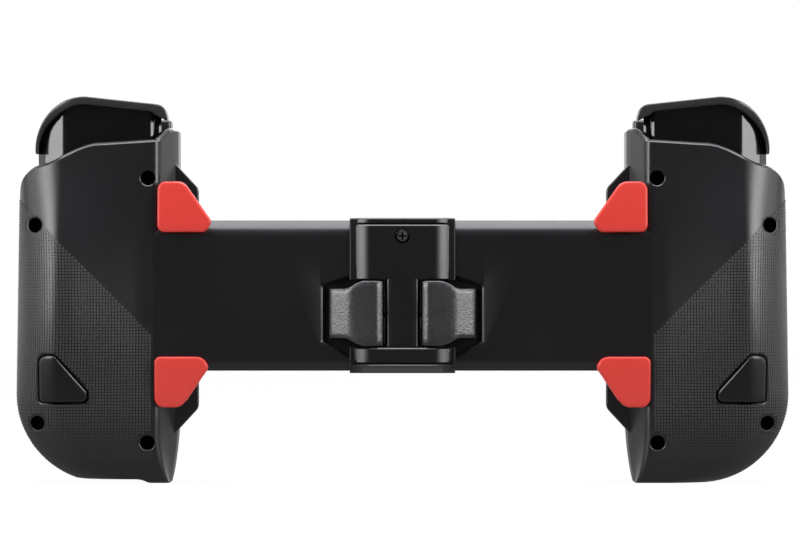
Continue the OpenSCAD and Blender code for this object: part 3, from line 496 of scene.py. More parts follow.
def open_finish(name):
    """A new finish, with the object's own coordinates in metres as its starting wire."""
    finish = bpy.data.materials.new(name)
    return finish, open_tree(finish).node("TexCoord", out="Object")


def plastic(name, colour, rough, grain, height, tone=0.25, field=None, coat=0.0, gloss=0.5):
    """Moulded plastic: grain of that size and height in mm as bump, and slow clouds in colour and
    roughness. A field is a mask's function with the colour and the extra roughness that it brings."""
    finish, at = open_finish(name)
    speck, cloud = at.noise(1000 / grain, 3.0, 0.6), at.noise(45.0, 4.0)
    shade = (cloud - 0.5) * tone + (speck - 0.5) * tone + 0.5
    dark, light = ([min(1, c * (1 + k * tone)) for c in colour] for k in (-0.7, 0.7))
    base = shade.blend((*dark, 1), (*light, 1))
    dull = rough + (cloud - 0.5) * 0.12 + (speck - 0.5) * 0.1
    if field:
        mask = field[0](at)
        base, dull = mask.blend(base, field[1]), dull + mask * field[2]
    at.surface({"Base Color": base, "Roughness": dull, "Specular IOR Level": gloss, "Coat Weight": coat,
                "Coat Roughness": 0.08, "Normal": at.relief((speck - 0.5) * (height * 0.001))})
    return finish


stud_slant, slant_x, slant_bend = 27.9, 71, 0.1


def stud_zone(at):
    """1 on the studded palm: below a slant that bends away at the inner edge, and off the inner flank."""
    place = at.node("SeparateXYZ", None, {0: at})
    x_mm, z_mm = abs(place) * 1000, place.out("Z") * 1000
    short, low = x_mm.math("MAXIMUM", slant_x - x_mm, 0), x_mm.math("MAXIMUM", 1 - z_mm / 22, 0)
    under = (x_mm - stud_slant - short * short * slant_bend - z_mm).step(-0.15, 0.15)
    past_flank = (x_mm - 69.6 - low * low * 2.2).step(-0.1, 0.3)
    return under * x_mm.math("MAXIMUM", past_flank, z_mm.step(31.4, 31.7))


def stud_foot_shade(at):
    """Painted shade towards the foot: 0 at the foot of the palm, 1 from 24 mm up."""
    return (at.node("SeparateXYZ", None, {0: at}, out="Z") * 1000).step(4, 24)


shell_black = plastic("shell_black", (0.0085, 0.0085, 0.0098), 0.32, 0.3, 0.01, gloss=0.65,
                      field=(stud_zone, (0.008, 0.008, 0.009, 1), 0.1))
# The arm's black is a darker copy of the shell's black, though both are one moulding: painted shade on the
# arm.
arm_painted_shade_black = plastic("arm_painted_shade_black", (0.0055, 0.0055, 0.0068), 0.32, 0.3, 0.01, gloss=0.65)
# The mask at the foot darkens them there as painted shade.
# The studs are coloured lighter than the shell as painted light for what their sloping sides catch.
stud_black_painted_light = plastic("stud_black_painted_light", (0.011, 0.011, 0.012), 0.4, 0.3, 0.008, gloss=0.65,
                     field=(stud_foot_shade, (0.045, 0.045, 0.0475, 1), 0))
# Near-black, unlit matte: painted shade where it fills the screw wells, the arms' notches, the screw's cross
# and the collar's middle.
# The seam tongues and the socket's black tongue also wear it.
black_and_painted_shade = plastic("black_and_painted_shade", (0.003, 0.003, 0.003), 0.75, 0.3, 0.02, gloss=0.2)

rear_parts = spaced(wall=7, edge=9, palm=36, round=44, side=3)
rear_turns = [(0, 0), (0, 90), (90, 90), (90, 180), (180, 180)]
rear_sides = grip_skin(rear_line, rear_parts, rear_turns, parting)
screw_places = np.array([(71.2, 85.6), (102.8, 72.4), (102.2, 17), (71.4, 11.5)])
button_corner, button_l = np.array([87.9, 22.9]), 13.4
stud_pitch, stud_foot, stud_top, stud_rise = 0.87, 0.36, 0.29, 0.15


def button_outline(gap):
    """Three-cornered outline of the rear button, drawn larger by a gap all round."""
    l, h = button_l, 0.98 * button_l
    n = unit(np.array([3 - h, l - 4.6]))
    top = ((gap - n[1] * (h + gap - 3)) / n[0], h + gap)
    low = (-gap, 3 + (gap + n[0] * gap) / n[1])
    corners = [(l + gap, -gap), (l + gap, h + gap), top, low, (-gap, -gap)]
    return button_corner + rounded(corners, [1.2, 2.2, 2.2, 2, 1.6])


def under_palm(outline, depth):
    """An outline in x and z laid at a depth under the palm."""
    return level(outline, palm_depth(outline[:, 0], outline[:, 1]) + depth)


def palm_hole(outline_of, wide, narrow, lip):
    """A cutter through the palm: an outline of the wide size down to the surface, then of the narrow size
    from the lip's depth on."""
    return solid([level(outline_of(wide), -20), under_palm(outline_of(wide), -0.04),
                  under_palm(outline_of(narrow), lip), level(outline_of(narrow), 9)])


def stud_field():
    """Square studs with sloping sides on the lower palm. Their rows are at equal lengths along the crest,
    and in a row they stand at equal lengths along the section from the palm's start; each is turned to
    the palm's normal there, and none stands in a screw hole or the button."""
    z_fine = np.linspace(0, 84, 400)
    run = np.concatenate([[0], np.cumsum(np.hypot(np.diff(z_fine), np.diff(swell_at(z_fine))))])
    z_row = np.interp(np.arange(3, run[-1], stud_pitch), run, z_fine)
    x, y = section(rear_line, rear_parts, np.repeat(z_row[:, None], sum(len(t) for _, t in rear_parts), 1))
    dx, dy = (np.diff(v, axis=1, prepend=v[:, :1]) for v in (x, y))
    length = np.cumsum(np.hypot(dx, dy), 1)
    palm_start = sum(len(t) for _, t in rear_parts[:2]) - 1
    length -= length[:, palm_start:palm_start + 1]
    u = np.arange(0.6, 62, stud_pitch)
    spots = np.stack([np.stack([np.interp(u, l, a), np.interp(u, l, b), z + 0 * u], -1)
                      for l, a, b, z in zip(length, x, y, z_row)])
    across, up = unit(np.gradient(spots, axis=1) + (1e-9, 0, 0)), unit(np.gradient(spots, axis=0))
    out = unit(np.cross(across, up))
    up = np.cross(out, across)
    sx, sz = spots[..., 0], spots[..., 2]
    lowest, screw_free, button_free, side_free, slant_free = 6.5, 2.9, 0.75, 0.3, 0.5
    keep = (sz > lowest) & (u[None] < length[:, -3:-2] - side_free)
    keep &= sx - stud_slant - slant_free - slant_bend * np.clip(slant_x - sx, 0, None) ** 2 > sz
    for p in screw_places:
        keep &= np.hypot(sx - p[0], sz - p[1]) > screw_free
    edge = button_outline(button_free)
    left_of = [(b[0] - a[0]) * (sz - a[1]) - (b[1] - a[1]) * (sx - a[0]) > 0
               for a, b in zip(edge, np.roll(edge, -1, 0))]
    keep &= ~np.all(left_of, axis=0)
    middle, across, up, out = (v[keep][:, None] for v in (spots, across, up, out))
    square = np.array([(-1, -1), (1, -1), (1, 1), (-1, 1)])[None]
    fade = ease((middle[..., 2:] - 5) / 16)
    points = np.concatenate([middle + square[..., :1] * h * across + square[..., 1:] * h * up + out * lift
                             for h, lift in ((stud_foot, -0.15), (stud_top, stud_rise * fade))], 1)
    block = np.array([(0, 1, 5, 4), (1, 2, 6, 5), (2, 3, 7, 6), (3, 0, 4, 7), (4, 5, 6, 7), (3, 2, 1, 0)])
    faces = (np.arange(len(points))[:, None, None] * 8 + block).reshape(-1, 4)
    return points.reshape(-1, 3), faces.tolist()


def port_rise(sides):
    """Both sides of a right grip's wall, lifted by an eased 1.1 mm step beside the charging socket."""
    step = [1.1 * ease((points[..., 0] - 70.6) / 3.4) + least for points, least in zip(sides, (0, 1))]
    return [np.dstack([points[..., :2], np.maximum(points[..., 2], s)]) for points, s in zip(sides, step)]


pad_mid = bridge_z - 5
notch = rounded([(22.3, pad_mid - 7.7), (22.3, pad_mid + 7.7), (14.6, 57.6), (-2, 58.9), (-2, 35.6),
                 (14.9, 35.6)], [0.8, 0.8, 0.8, 0.2, 0.2, 0.8], 4)
notch_run = unit(np.roll(notch, -1, 0) - np.roll(notch, 1, 0))
notch_cut = solid([level(inset(notch, -0.8), -3), level(inset(notch, -0.8), -0.03),
                   level(notch, 0.45 + 0.4 * np.abs(notch_run[:, 0])), level(notch, 1.95)])
arm_outside = rounded([(8.85, -21.1), (2.75, -21.1), (0, -18.35), (0, 17.7), (2.75, 21.1), (8.85, 21.1)],
                      [0.2, 0.5, 1.8, 5, 0.8, 0.2], 9)
arm_inside = rounded([(8.85, -19.5), (3.41, -19.5), (1.6, -17.69), (1.6, 17.13), (3.51, 19.5), (8.85, 19.5)],
                     [0.2, 0.3, 0.5, 1, 0.3, 0.2], 9)
arm_runs = np.array([5, 5.4, 14, 23, 35, 48, 58, 66, 69.7])
arm_wall = walled(*(np.stack(np.broadcast_arrays(arm_runs[:, None], line[:, 0], bridge_z + line[:, 1]), -1)
                    for line in (arm_outside, arm_inside)))
ledge = rounded([(57.5, 21), (66.3, 11.5), (66.3, 92.4), (57.5, 82.9)], [3, 0.5, 0.5, 3])
holes = [palm_hole(lambda r: ring_of(r, p), 2.4, 2.1, 0.22) for p in screw_places]
holes.append(palm_hole(button_outline, 0.6, 0.3, 0.24))
bosses = []
for p in screw_places:
    wide, narrow, tip = ring_of(3.2, p), ring_of(2.1, p), ring_of(0.3, p)
    bosses.append(solid([level(wide, 6.6), under_palm(wide, 0.9), under_palm(narrow, 0.9),
                         level(narrow, 6.4), level(tip, 6.4)]))
studs = stud_field()
for side, name in halves:
    sides = port_rise(rear_sides) if side < 0 else rear_sides
    back = mould(name + "_grip_back", [walled(*sides)], side, cuts=holes)
    settle(back, name + "_grip", "shell_black", shell_black, name + "_rear_shell")
both("phone_ledge", [slab(ledge, 8.7, parting, 0.5)], "grip", "shell_black", shell_black)
# The screw wells are finished in near-black as painted shade down the deep holes.
both("screw_wells", bosses, "grip", "shell_black", black_and_painted_shade)
both("arm", [arm_wall], "grip", "shell_black", arm_painted_shade_black, cuts=[notch_cut])
both("palm_studs", [studs], "grip", "shell_black", stud_black_painted_light, sharp=20)
# A near-black sheet behind each notch: painted shade over the arm's inside.
both("notch_shade_sheet", [slab(notch + (0.6, 0), 1.45, 1.75, 0.1)], "grip", "shell_black", black_and_painted_shade,
     cuts=[slab(oblong(-9, 20, 5.2, 90), 0, 3, 0)])


# Red corner pads. A soft-edged red moulding fills each corner between grip and arm and wraps
# on to the arm's edge; a short lug in the same piece keys it beside the ledge.
accent_red = plastic("accent_red", (0.61, 0.038, 0.027), 0.42, 0.35, 0.008, tone=0.1)
pads = []
for s, x0, z0, lean, radii in ((-1, 69.3, bridge_z - 17.1, -0.1, [1.6, 2.6, 3.6, 1.4, 3.2]),
                               (1, 68.5, bridge_z + 17.7, 0.05, [2.0, 2.4, 3.6, 1.4, 2.4])):
    outline = rounded([(x0, z0), (x0, z0 + 14.2 * s), (x0 - 7.4, z0 + 14.2 * s), (x0 - 15.3, z0 + 3 * s),
                       (x0 - 13.6, z0)], radii)
    mid_x, mid_z = outline.mean(0)

    def bulge(x, z):
        """Back of a pad: it falls with the square of the way from its middle, and leans with the height."""
        return -1.8 + 0.22 * ((x - mid_x) ** 2 + (z - mid_z) ** 2) / 64 + lean * (z - mid_z)

    pads.append(slab(dense(outline, 0.5), bulge, -0.03, 0.75, rings=7, infill=6))
    lug = rounded([(63.2, bridge_z + 21.2 * s), (63.2, bridge_z + 29.7 * s), (60.7, bridge_z + 29.7 * s),
                   (56.7, bridge_z + 23.7 * s), (56.7, bridge_z + 21.2 * s)], [0.3, 0.6, 0.8, 0.8, 0.3])
    pads.append(slab(lug, -0.6, 5.4, 0.5))
both("corner_pad_pair", pads, "grip", "accent_red", accent_red, "corner_pads")


# Collar. A sleeve holds the two arms on the rail, and a T-shaped cover with round flanks sits on its back.
# A lip closes the cover at its top and a ledge at its foot, and one cross-head screw goes into the rail.
collar_satin = plastic("collar_black", (0.006, 0.006, 0.0065), 0.3, 0.25, 0.008, gloss=0.65)
sleeve_outside = rounded([(10.7, -21.75), (1.9, -21.75), (-0.6, -20.2), (-0.6, 21.75), (10.7, 21.75)],
                         [0.2, 0.3, 0.3, 0.7, 0.2], 5)
sleeve_inside = rounded([(10.7, -21.25), (2.04, -21.25), (-0.1, -19.92), (-0.1, 21.25), (10.7, 21.25)],
                        [0.1, 0.1, 0.1, 0.25, 0.1], 5)
sleeve_run = np.array([-14.75, -14.68, -14.45, -14.3, -7, 0, 7, 14.3, 14.45, 14.68, 14.75])[:, None]
sleeve_drop = 0.45 - np.sqrt(0.45 ** 2 - np.clip(np.abs(sleeve_run) - 14.3, 0, 0.45) ** 2)
sleeve_back = np.clip(np.abs(sleeve_run) - 14.45, 0, None) - 0.6
sleeve = [np.stack(np.broadcast_arrays(sleeve_run, np.maximum(line[:, 0], back),
                                       bridge_z + line[:, 1] - drop * (line[:, 1] > 0)), -1)
          for line, back, drop in ((sleeve_outside, sleeve_back, sleeve_drop), (sleeve_inside, -0.1, 0))]


def cover_depth(x):
    """Back of the cover across x: level in the middle, a growing slope on each flank, then a steep fall to
    the sleeve."""
    out, past = np.clip(np.abs(x) - 8.9, 0, None), np.clip(np.abs(x) - 13.1, 0, None)
    return -2.6 + 0.3 * out ** 2 / (out + 0.6) + 0.055 * out ** 2 + 2.2 * past ** 2


half_x = np.concatenate([[0, 2, 3.7, 4.12, 4.2, 5.2, 7.4], np.linspace(8.8, 13, 15),
                         np.linspace(13.2, 13.95, 5)])
cover_x = np.concatenate([-half_x[:0:-1], half_x])
spine_x = cover_x[np.abs(cover_x) < 4.3]
edge_steps = np.array([0, 0.1, 0.34])


def plate(xs, z0, z1, back=0, spine=False):
    """A plate with the cover's back, moved back by a distance. Its ends fall off over a 0.34 mm chamfer.
    A spine has a flatter chamfer on its sides instead, and sinks by 0.6 mm towards its foot."""
    margin = (z1 - z0) * 0.3
    zs = np.concatenate([z0 + edge_steps, np.linspace(z0 + margin, z1 - margin, 8), z1 - edge_steps[::-1]])
    x, z = np.meshgrid(xs, zs)
    ends = np.clip(0.34 - np.minimum(z - z0, z1 - z), 0, None)
    sides = np.clip(0.5 - (4.2 - np.abs(x)), 0, None) * 0.58 + 0.6 * ease((56 - z) / 12)
    return skin(np.stack([x, cover_depth(x) - back + (sides if spine else ends), z], -1))


def metal(name, dark, light, scale, detail, dull, spread, ridge=0, stretch=None):
    """Bare metal: one noise, stretched along the grain if there is one, gives tone, dullness and ridges."""
    finish, at = open_finish(name)
    grain = (at.node("Mapping", None, {0: at, "Scale": stretch}) if stretch else at).noise(scale, detail)
    sockets = {"Base Color": grain.blend((*dark, 1), (*light, 1)), "Metallic": 1.0,
               "Roughness": grain * spread + dull}
    if ridge:
        sockets["Normal"] = at.relief(grain * ridge)
    at.surface(sockets)
    return finish


def cross_of(a, b):
    """The twelve corners of a cross whose arms reach out to a and are b wide to each side."""
    arm_end = np.array([a - 1j * b, a + 1j * b, b + 1j * b])
    turned = np.concatenate([arm_end * 1j ** k for k in range(4)])
    return np.stack([turned.real, turned.imag], -1)


steel = metal("steel", (0.24, 0.24, 0.25), (0.42, 0.42, 0.43), scale=900.0, detail=4.0, dull=0.22,
              spread=0.25, ridge=0.00001, stretch=(1, 6, 1))
black_steel = metal("black_steel", (0.003, 0.003, 0.003), (0.012, 0.012, 0.012), scale=1400.0, detail=4.0,
                    dull=0.3, spread=0.3, ridge=0.00001)
screw_z = 69.3
screw_line = [(0.05, 0.2), (1.85, 0.2), (1.9, -0.9), (1.75, -1.5), (1.4, -1.95), (0.8, -2.1), (0.05, -2.12)]
cross = cross_of(1.15, 0.27) + (0, screw_z)
screw_well = solid(lathe([(2.15, -4), (2.15, 4)], (0, screw_z)))
windows = [slab(oblong(s * 4.3, 38.2, s * 20, 57.1, [0.1]), -4, 2, 0) for s in (1, -1)]
ledge_line = np.array([(-0.25, 33.45), (-3.7, 33.45), (-4.05, 33.15), (-0.9, 31.35), (-0.25, 31.35)])
ledge_y = np.minimum(ledge_line[:, 0] + cover_depth(cover_x)[:, None] + 2.6, -0.25)
ledge_rows = np.stack(np.broadcast_arrays(1.04 * cover_x[:, None], ledge_y, ledge_line[:, 1]), -1)
cover = mould("collar_cover", [plate(cover_x, 57.1, 72.5)], wall=1.2, cuts=[screw_well])
spine = mould("collar_spine", [plate(spine_x, 38.5, 57.5, spine=True)], wall=1.2)
band = mould("collar_band", [plate(cover_x, 33.75, 38.1, back=0.9)], wall=1.4)
ring = mould("collar_sleeve", [walled(*sleeve)], cuts=[*windows, screw_well])
top_lip = mould("collar_top_lip", [plate(cover_x * 1.04, 72.75, 74.4, back=-0.3)], wall=1.2)
foot_lip = mould("collar_foot_lip", [solid(ledge_rows)])
for piece in (cover, spine, band, ring, top_lip, foot_lip):
    settle(piece, "bridge", "shell_black", collar_satin)
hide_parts("collar_rear")
head = mould("collar_screw_head", [solid(lathe(screw_line, (0, screw_z)))], cuts=[slab(cross, -4, -1.3, 0)])
settle(head, "bridge", "steel", steel, "collar_screw")
# A near-black slab in the screw head's cross: painted shade in the recess.
settle(mould("collar_screw_cross_shade", [slab(cross, -1.5, -1.2, 0)]), "bridge", "steel", black_and_painted_shade)
# A near-black plate between the arms behind the spine: painted shade over the gap where the pinion lies.
gap_shade_sheet = slab(oblong(-4.9, 38.2, 4.9, 57.3), 1.3, 1.7, 0)
settle(mould("collar_gap_shade", [gap_shade_sheet]), "bridge", "shell_black", black_and_painted_shade)


# Squeeze buttons. One sits in each side of the collar and frees the slide; their backs are moulded
# with a coarse grain, step down towards the outside and have a round inner edge.
# The brighter base and the strong speck tone are partly the grain's own tone.
# They are also partly painted glints and sheen that the grain catches from the lamps.
release_grain = plastic("release_grain", (0.024, 0.024, 0.026), 0.34, 0.6, 0.09, tone=1.35, gloss=0.95)
pad_across = np.array([
    (5.45, 1.2), (5.45, -2.1), (5.55, -2.45), (5.8, -2.75), (6.8, -3.38), (7.2, -3.54), (7.7, -3.6),
    (9, -3.6), (11, -3.6), (13, -3.55), (14.4, -3.35), (15.4, -2.95), (16.2, -2.5), (18, -1.5),
    (19.4, -0.75), (20, -0.35), (20.35, 0.1), (20.5, 0.6), (20.5, 1.2)])


def pad_height(x):
    """Half height of a squeeze button at x: full by the spine, drawn in by an S-curve to its outer end."""
    return 9.1 - 2.2 * ease((x - 11) / 5.2)


along = np.concatenate([[-1, -0.995], np.linspace(-0.97, 0.97, 13), [0.995, 1]])
drop = np.concatenate([[0.9, 0.32, 0.07], np.zeros(11), [0.07, 0.32, 0.9]])
pad_x = pad_across[:, :1] + 0 * along
pad_y = np.minimum(pad_across[:, 1:] + drop, 1.2)
pad_skin = skin(np.stack([pad_x, pad_y, pad_mid + along * pad_height(pad_x)], -1))
both("release_cap", [pad_skin], "release", "release_grain", release_grain, "release_button",
     wall=1.0, sharp=50)


# Rear buttons. A smooth three-cornered button sits in an opening of each palm, under the fingers.
# It stands 0.6 mm out and follows the palm's curve.
button_black = plastic("button_black", (0.0055, 0.0055, 0.0065), 0.32, 0.3, 0.008, gloss=0.65)
button_loop = dense(button_outline(0), 0.4)
proud = slab(button_loop, lambda x, z: palm_depth(x, z) - 0.6, 3.0, 0.8, rings=7, infill=9)
both("rear_button_cap", [proud], "rear_button", "button_black", button_black, "rear_button")


# Triggers. Each is a glossy black body with a round outer corner, under a satin lip that overhangs it.
# The lip curls down at its inner end and thins out round the corner; a rib guides the body's inner side.
trigger_black = plastic("trigger_black", (0.004, 0.004, 0.0045), 0.16, 0.5, 0.002, coat=0.1)
lip_black = plastic("lip_black", (0.024, 0.024, 0.025), 0.3, 0.4, 0.006, gloss=0.7)
crown_x, crown_z, crown_a, crown_b = 88.8, 108.5, 14.4, 14.6


def crown(x):
    """Top of the trigger: a slight fall towards the middle, a quarter ellipse outwards."""
    out = crown_z - crown_b * (1 - np.sqrt(np.clip(1 - (np.clip(x - crown_x, 0, None) / crown_a) ** 2, 0, 1)))
    return np.where(x < crown_x, crown_z - (crown_x - x) * 0.107, out)


body_loop = dense(rounded([(69.7, 4.6), (70.9, 3.87), (95.0, 3.87), (100.8, 7.0), (102.7, 9.0), (102.7, 9.6),
                           (69.7, 9.6)], [0.3, 0.4, 5, 1.2, 0.3, 0.2, 0.4], 9), 0.3)
guide_loop = rounded([(67.9, 7.55), (68.6, 7.1), (70.4, 7.1), (70.4, 9.6), (67.9, 9.6)], [0.15] + [0.2] * 4)
body_guide = bore(guide_loop, [(92.6, 0), (103.4, 0), (103.65, -0.15)], 2)
body_top, body_low = crown(body_loop[:, 0]) - 1.2, 86.4 + 6.2 * ease((81 - body_loop[:, 0]) / 5)
body_z = body_low + (body_top - body_low) * np.linspace(0, 1, 8)[:, None]
body_rows = np.stack(np.broadcast_arrays(body_loop[:, 0], body_loop[:, 1], body_z), -1)

bend, flat_x = np.linspace(0, np.pi / 2, 26)[1:], np.linspace(70, crown_x, 12)
lip_tail = np.array([(65.7, 101.95), (65.95, 103.3), (66.35, 104.6), (66.85, 105.4), (67.5, 105.95),
                     (68.3, 106.27)])
lip_over = np.concatenate([
    np.stack([flat_x, crown(flat_x)], -1),
    np.stack([crown_x + crown_a * np.sin(bend), crown_z - crown_b + crown_b * np.cos(bend)], -1),
    [(103.2, 93.2), (103.1, 92.5)]])
lip_run = unit(np.gradient(lip_over, axis=0))
lip_thick = 0.8 + 1.5 * ease((1 - np.linspace(0, 1, len(lip_over))[:, None]) / 0.5)
lip_under = lip_over + np.stack([lip_run[:, 1], -lip_run[:, 0]], -1) * lip_thick
tail_under = np.array([65.9, 101.6]) + (3.7, 1.9) * np.linspace(0, 1, 6)[:, None]
lip_top, lip_low = np.concatenate([lip_tail, lip_over]), np.concatenate([tail_under, lip_under])
lip_loop = dense(oblong(0.6, 0, 9.6, 2, [0.5, 0.3, 0.3, 0.6], 6), 0.25) / (1, 2)
lip_line = lip_top[:, None] + (lip_low - lip_top)[:, None] * lip_loop[None, :, 1:]
lip_share = np.linspace(0, 1, len(lip_top))
draw_back = 4.2 * ease((lip_share - 0.45) / 0.4)[:, None]
lip_front = 9.6 - 2.4 * (1 - ease(lip_share / 0.14))[:, None]
lip_back = lip_front - (9.6 - lip_loop[None, :, 0]) * (lip_front - 0.6 - draw_back) / 9
lip_rows = np.stack([lip_line[..., 0], lip_back, lip_line[..., 1]], -1)
both("trigger_body", [solid(body_rows), body_guide], "trigger", "trigger_black", trigger_black, "trigger")
both("trigger_lip", [solid(lip_rows)], "trigger", "trigger_black", lip_black)


# Front shells. They close the grips towards the player, with chamfered openings for the controls.
# A smooth ring guards each thumbstick's opening, and the phone's plug comes through the right wall.
grip_front, seam = 22.0, parting + 0.16
left_stick_at, right_stick_at, pad_at = np.array([87, 67]), np.array([81, 36]), np.array([80, 35])
sticks = ((1, "left", left_stick_at), (-1, "right", right_stick_at))
small_spots = np.array([(70.2, 78.5), (70.2, 21)])
face_pitch = 8.2
face_spots = (87, 67) + face_pitch * np.array([(0, 1), (0, -1), (1, 0), (-1, 0)])


def front_at(z):
    """Depth of the front face, which rounds back over the last 4 mm at the foot."""
    return grip_front - 4 + 4 * rounding(z, 4)


def front_line(part, t, z):
    """x and depth of a front section at height z: outer side, 6 mm round, face, 1.5 mm round, inner wall."""
    face, outer, inner, turn = front_at(z), outer_at(z), inner_at(z), t * np.pi / 2
    if part == "side":
        return outer + 0 * t, seam + (face - 6 - seam) * t
    if part == "corner":
        return outer - 6 + 6 * np.cos(turn), face - 6 + 6 * np.sin(turn)
    if part == "face":
        return outer - 6 + (inner + 7.5 - outer) * t, face + 0 * t
    if part == "edge":
        return inner + 1.5 - 1.5 * np.sin(turn), face - 1.5 + 1.5 * np.cos(turn)
    return inner + 0 * t, face - 1.5 + (seam - face + 1.5) * t


def pad_cross(gap):
    """The direction pad's outline: a cross of two 22 by 7 mm bars with round corners, larger by a gap."""
    return pad_at + rounded(cross_of(11 + gap, 3.5 + gap), [1.7, 1.7, 0.7] * 4, 6)


def tongue(path):
    """Both sides of a strip behind the parting line, along a path of x and z with the inside on its right."""
    run = unit(np.gradient(path, axis=0))
    inside = np.stack([run[:, 1], -run[:, 0]], -1)
    return [np.stack([level(path + d * inside, seam + y) for y in (-1, 1)], 1) for d in (1.15, 1.75)]


front_parts = spaced(side=5, corner=14, face=28, edge=7, wall=4)
front_turns = [(180, 180), (180, 270), (270, 270), (270, 360), (360, 360)]
front_sides = grip_skin(front_line, front_parts, front_turns, seam)
side_z, foot_z, head_z = 84 * np.linspace(1, 0, 70) ** 2, np.linspace(0, 29, 9), np.linspace(78, 97, 6)
low_path = np.concatenate([np.stack([outer_at(side_z), side_z], -1),
                           np.stack([inner_at(foot_z), foot_z], -1)])
high_path = np.stack([inner_at(head_z), head_z], -1)
flared = [(12.5, 0), (21.5, 0), (22.02, 0.5), (26, 0.5)]
plug_line = oblong(13.1, 45.3, 18.7, 57.7, [1.8])
socket_line = oblong(76.6, 13.2, 85, 15.8, [1.25], 9)
ring_profile = [(9.55, 21.4), (9.5, 22.2), (9.7, 22.45), (10.1, 22.55), (10.5, 22.45), (10.9, 22.1),
                (11.05, 21.7), (10.3, 21.4), (9.55, 21.4)]
for side, name, stick in sticks:
    openings = [bore(ring_of(9.5, stick, 72), flared)]
    openings += [bore(ring_of(2.7, p, 32), flared) for p in small_spots]
    walls = [front_sides, tongue(low_path), tongue(high_path)]
    if side > 0:
        openings.append(bore(pad_cross(0.8), flared))
    else:
        walls = [port_rise(sides) for sides in walls]
        openings += [bore(ring_of(4.3, p, 40), flared) for p in face_spots]
        openings.append(bore(plug_line, [(60, 0.35), (63.28, 0.35), (63.7, 0), (66.5, 0)], 0))
        openings.append(bore(socket_line, [(-3, 0.9), (1.1, 0.9), (1.5, 0.6), (5, 0.6)], 2))
    front, *laps = (walled(*sides) for sides in walls)
    shell = mould(name + "_grip_front", [front], side, cuts=openings)
    settle(shell, name + "_grip", "shell_black", shell_black, name + "_front_shell")
    settle(mould(name + "_seam_tongue", laps, side), name + "_grip", "shell_black", black_and_painted_shade)
    guard = mould(name + "_stick_ring", [skin(lathe(ring_profile, stick, 72), closed=True)], side)
    settle(guard, name + "_grip", "shell_black", trigger_black)


# Bumpers. A satin bar with a round front edge lies in front of each trigger and clicks down on a switch.
# It follows the fall of the shell's rim, and its ends are drawn in a little.
bumper_loop = dense(oblong(10.8, 0, 19.7, 7, [0.4, 0.4, 3.0, 1.2], 9), 0.35)
bumper_run = np.concatenate([[0, 0.08, 0.3, 0.8], np.linspace(1.6, 33.6, 24), [34.6, 35.2, 35.5, 35.6]])
bumper_x = 65.45 + bumper_run[:, None]
bumper_low = 95.75 - 6.2 * ease((bumper_x - 83.8) / 19)
bumper_high = 102.5 - 6.2 * ease((bumper_x - 82.8) / 19)
bumper_end = np.minimum(bumper_x - bumper_x[0], bumper_x[-1] - bumper_x)
bumper_draw = 1 - 0.14 * np.clip(1 - bumper_end / 0.8, 0, 1) ** 2
bumper_y = 15.25 + (bumper_loop[None, :, 0] - 15.25) * bumper_draw
bumper_rise = (bumper_high - bumper_low) * (bumper_loop[None, :, 1] / 7 - 0.5) * bumper_draw
bumper_z = (bumper_low + bumper_high) / 2 + bumper_rise
bumper_rows = np.stack([bumper_x + 0 * bumper_y, bumper_y, bumper_z], -1)
both("bumper_bar", [solid(bumper_rows)], "bumper", "trigger_black", lip_black, "bumper")


# Front plates. A plate with two long grooves closes each arm behind the phone,
# and a plate with a sunk panel closes the collar.
arm_plate = rounded([(8.95, -21.0), (10.45, -21.0), (10.45, -13.1), (10.05, -12.7), (10.05, -11.5),
                     (10.45, -11.1), (10.45, 11.1), (10.05, 11.5), (10.05, 12.7), (10.45, 13.1),
                     (10.45, 21.0), (8.95, 21.0)], [0.1, 0.5] + [0.12] * 8 + [0.5, 0.1], 4) + (0, bridge_z)
arm_steps = [(5, -0.06), (5.1, 0), (63.1, 0), (63.2, -0.06)]
both("arm_plate", [bore(arm_plate, arm_steps, 0)], "grip", "shell_black", button_black, "arm_cover")
collar_line = oblong(-14.85, -21.7, 14.85, 21.7, [1.6]) + (0, bridge_z)
collar_steps = [(10.75, -0.2), (10.85, 0), (11.4, 0), (11.65, -0.1), (11.82, -0.3), (11.88, -0.55)]
panel = oblong(-11.9, -18.8, 11.9, 18.8, [1.2]) + (0, bridge_z)
sunk = bore(panel, [(11.5, 0), (11.6, 0.05), (11.84, 0.2), (11.95, 0.45), (13, 0.45)])
collar_plate = mould("collar_plate", [bore(collar_line, collar_steps)], cuts=[sunk])
settle(collar_plate, "bridge", "shell_black", collar_satin, "collar_front")


# Rubber pads. The phone's back and ends press on ribbed rubber, which is moulded on to the ledge and the
# inner wall. On the right the ribs leave room for the plug.
rubber_black = plastic("rubber_black", (0.011, 0.011, 0.011), 0.68, 0.25, 0.03, tone=0.5)
back_pad = bore(oblong(57.6, 22.6, 63.2, 82.8, [3, 0.3, 0.3, 3]),
                [(10.5, -0.1), (10.6, 0), (11.3, 0), (11.55, -0.25)])
end_wall = bore(oblong(11.3, 22.6, 19.9, 82.8, [0.3, 1.5, 1.5, 0.3]),
                [(63.25, 0), (62.5, 0), (62.25, -0.25)], 0)
rib_shape = np.array([(0, -0.45), (0.28, -0.25), (0.34, 0), (0.28, 0.25), (0, 0.45)])
rib_z = np.arange(25.4, 81, 1.7)
plug_gap = np.abs(rib_z - 51.5) > 7.4


def ribs(heights, rise, *ends):
    """Bars with a five-point round section that rises one way, carried between two ends in x and depth."""
    shape = np.array(rise) * rib_shape[:, :1]
    return [solid([np.column_stack([end + shape, z + rib_shape[:, 1]]) for end in ends]) for z in heights]


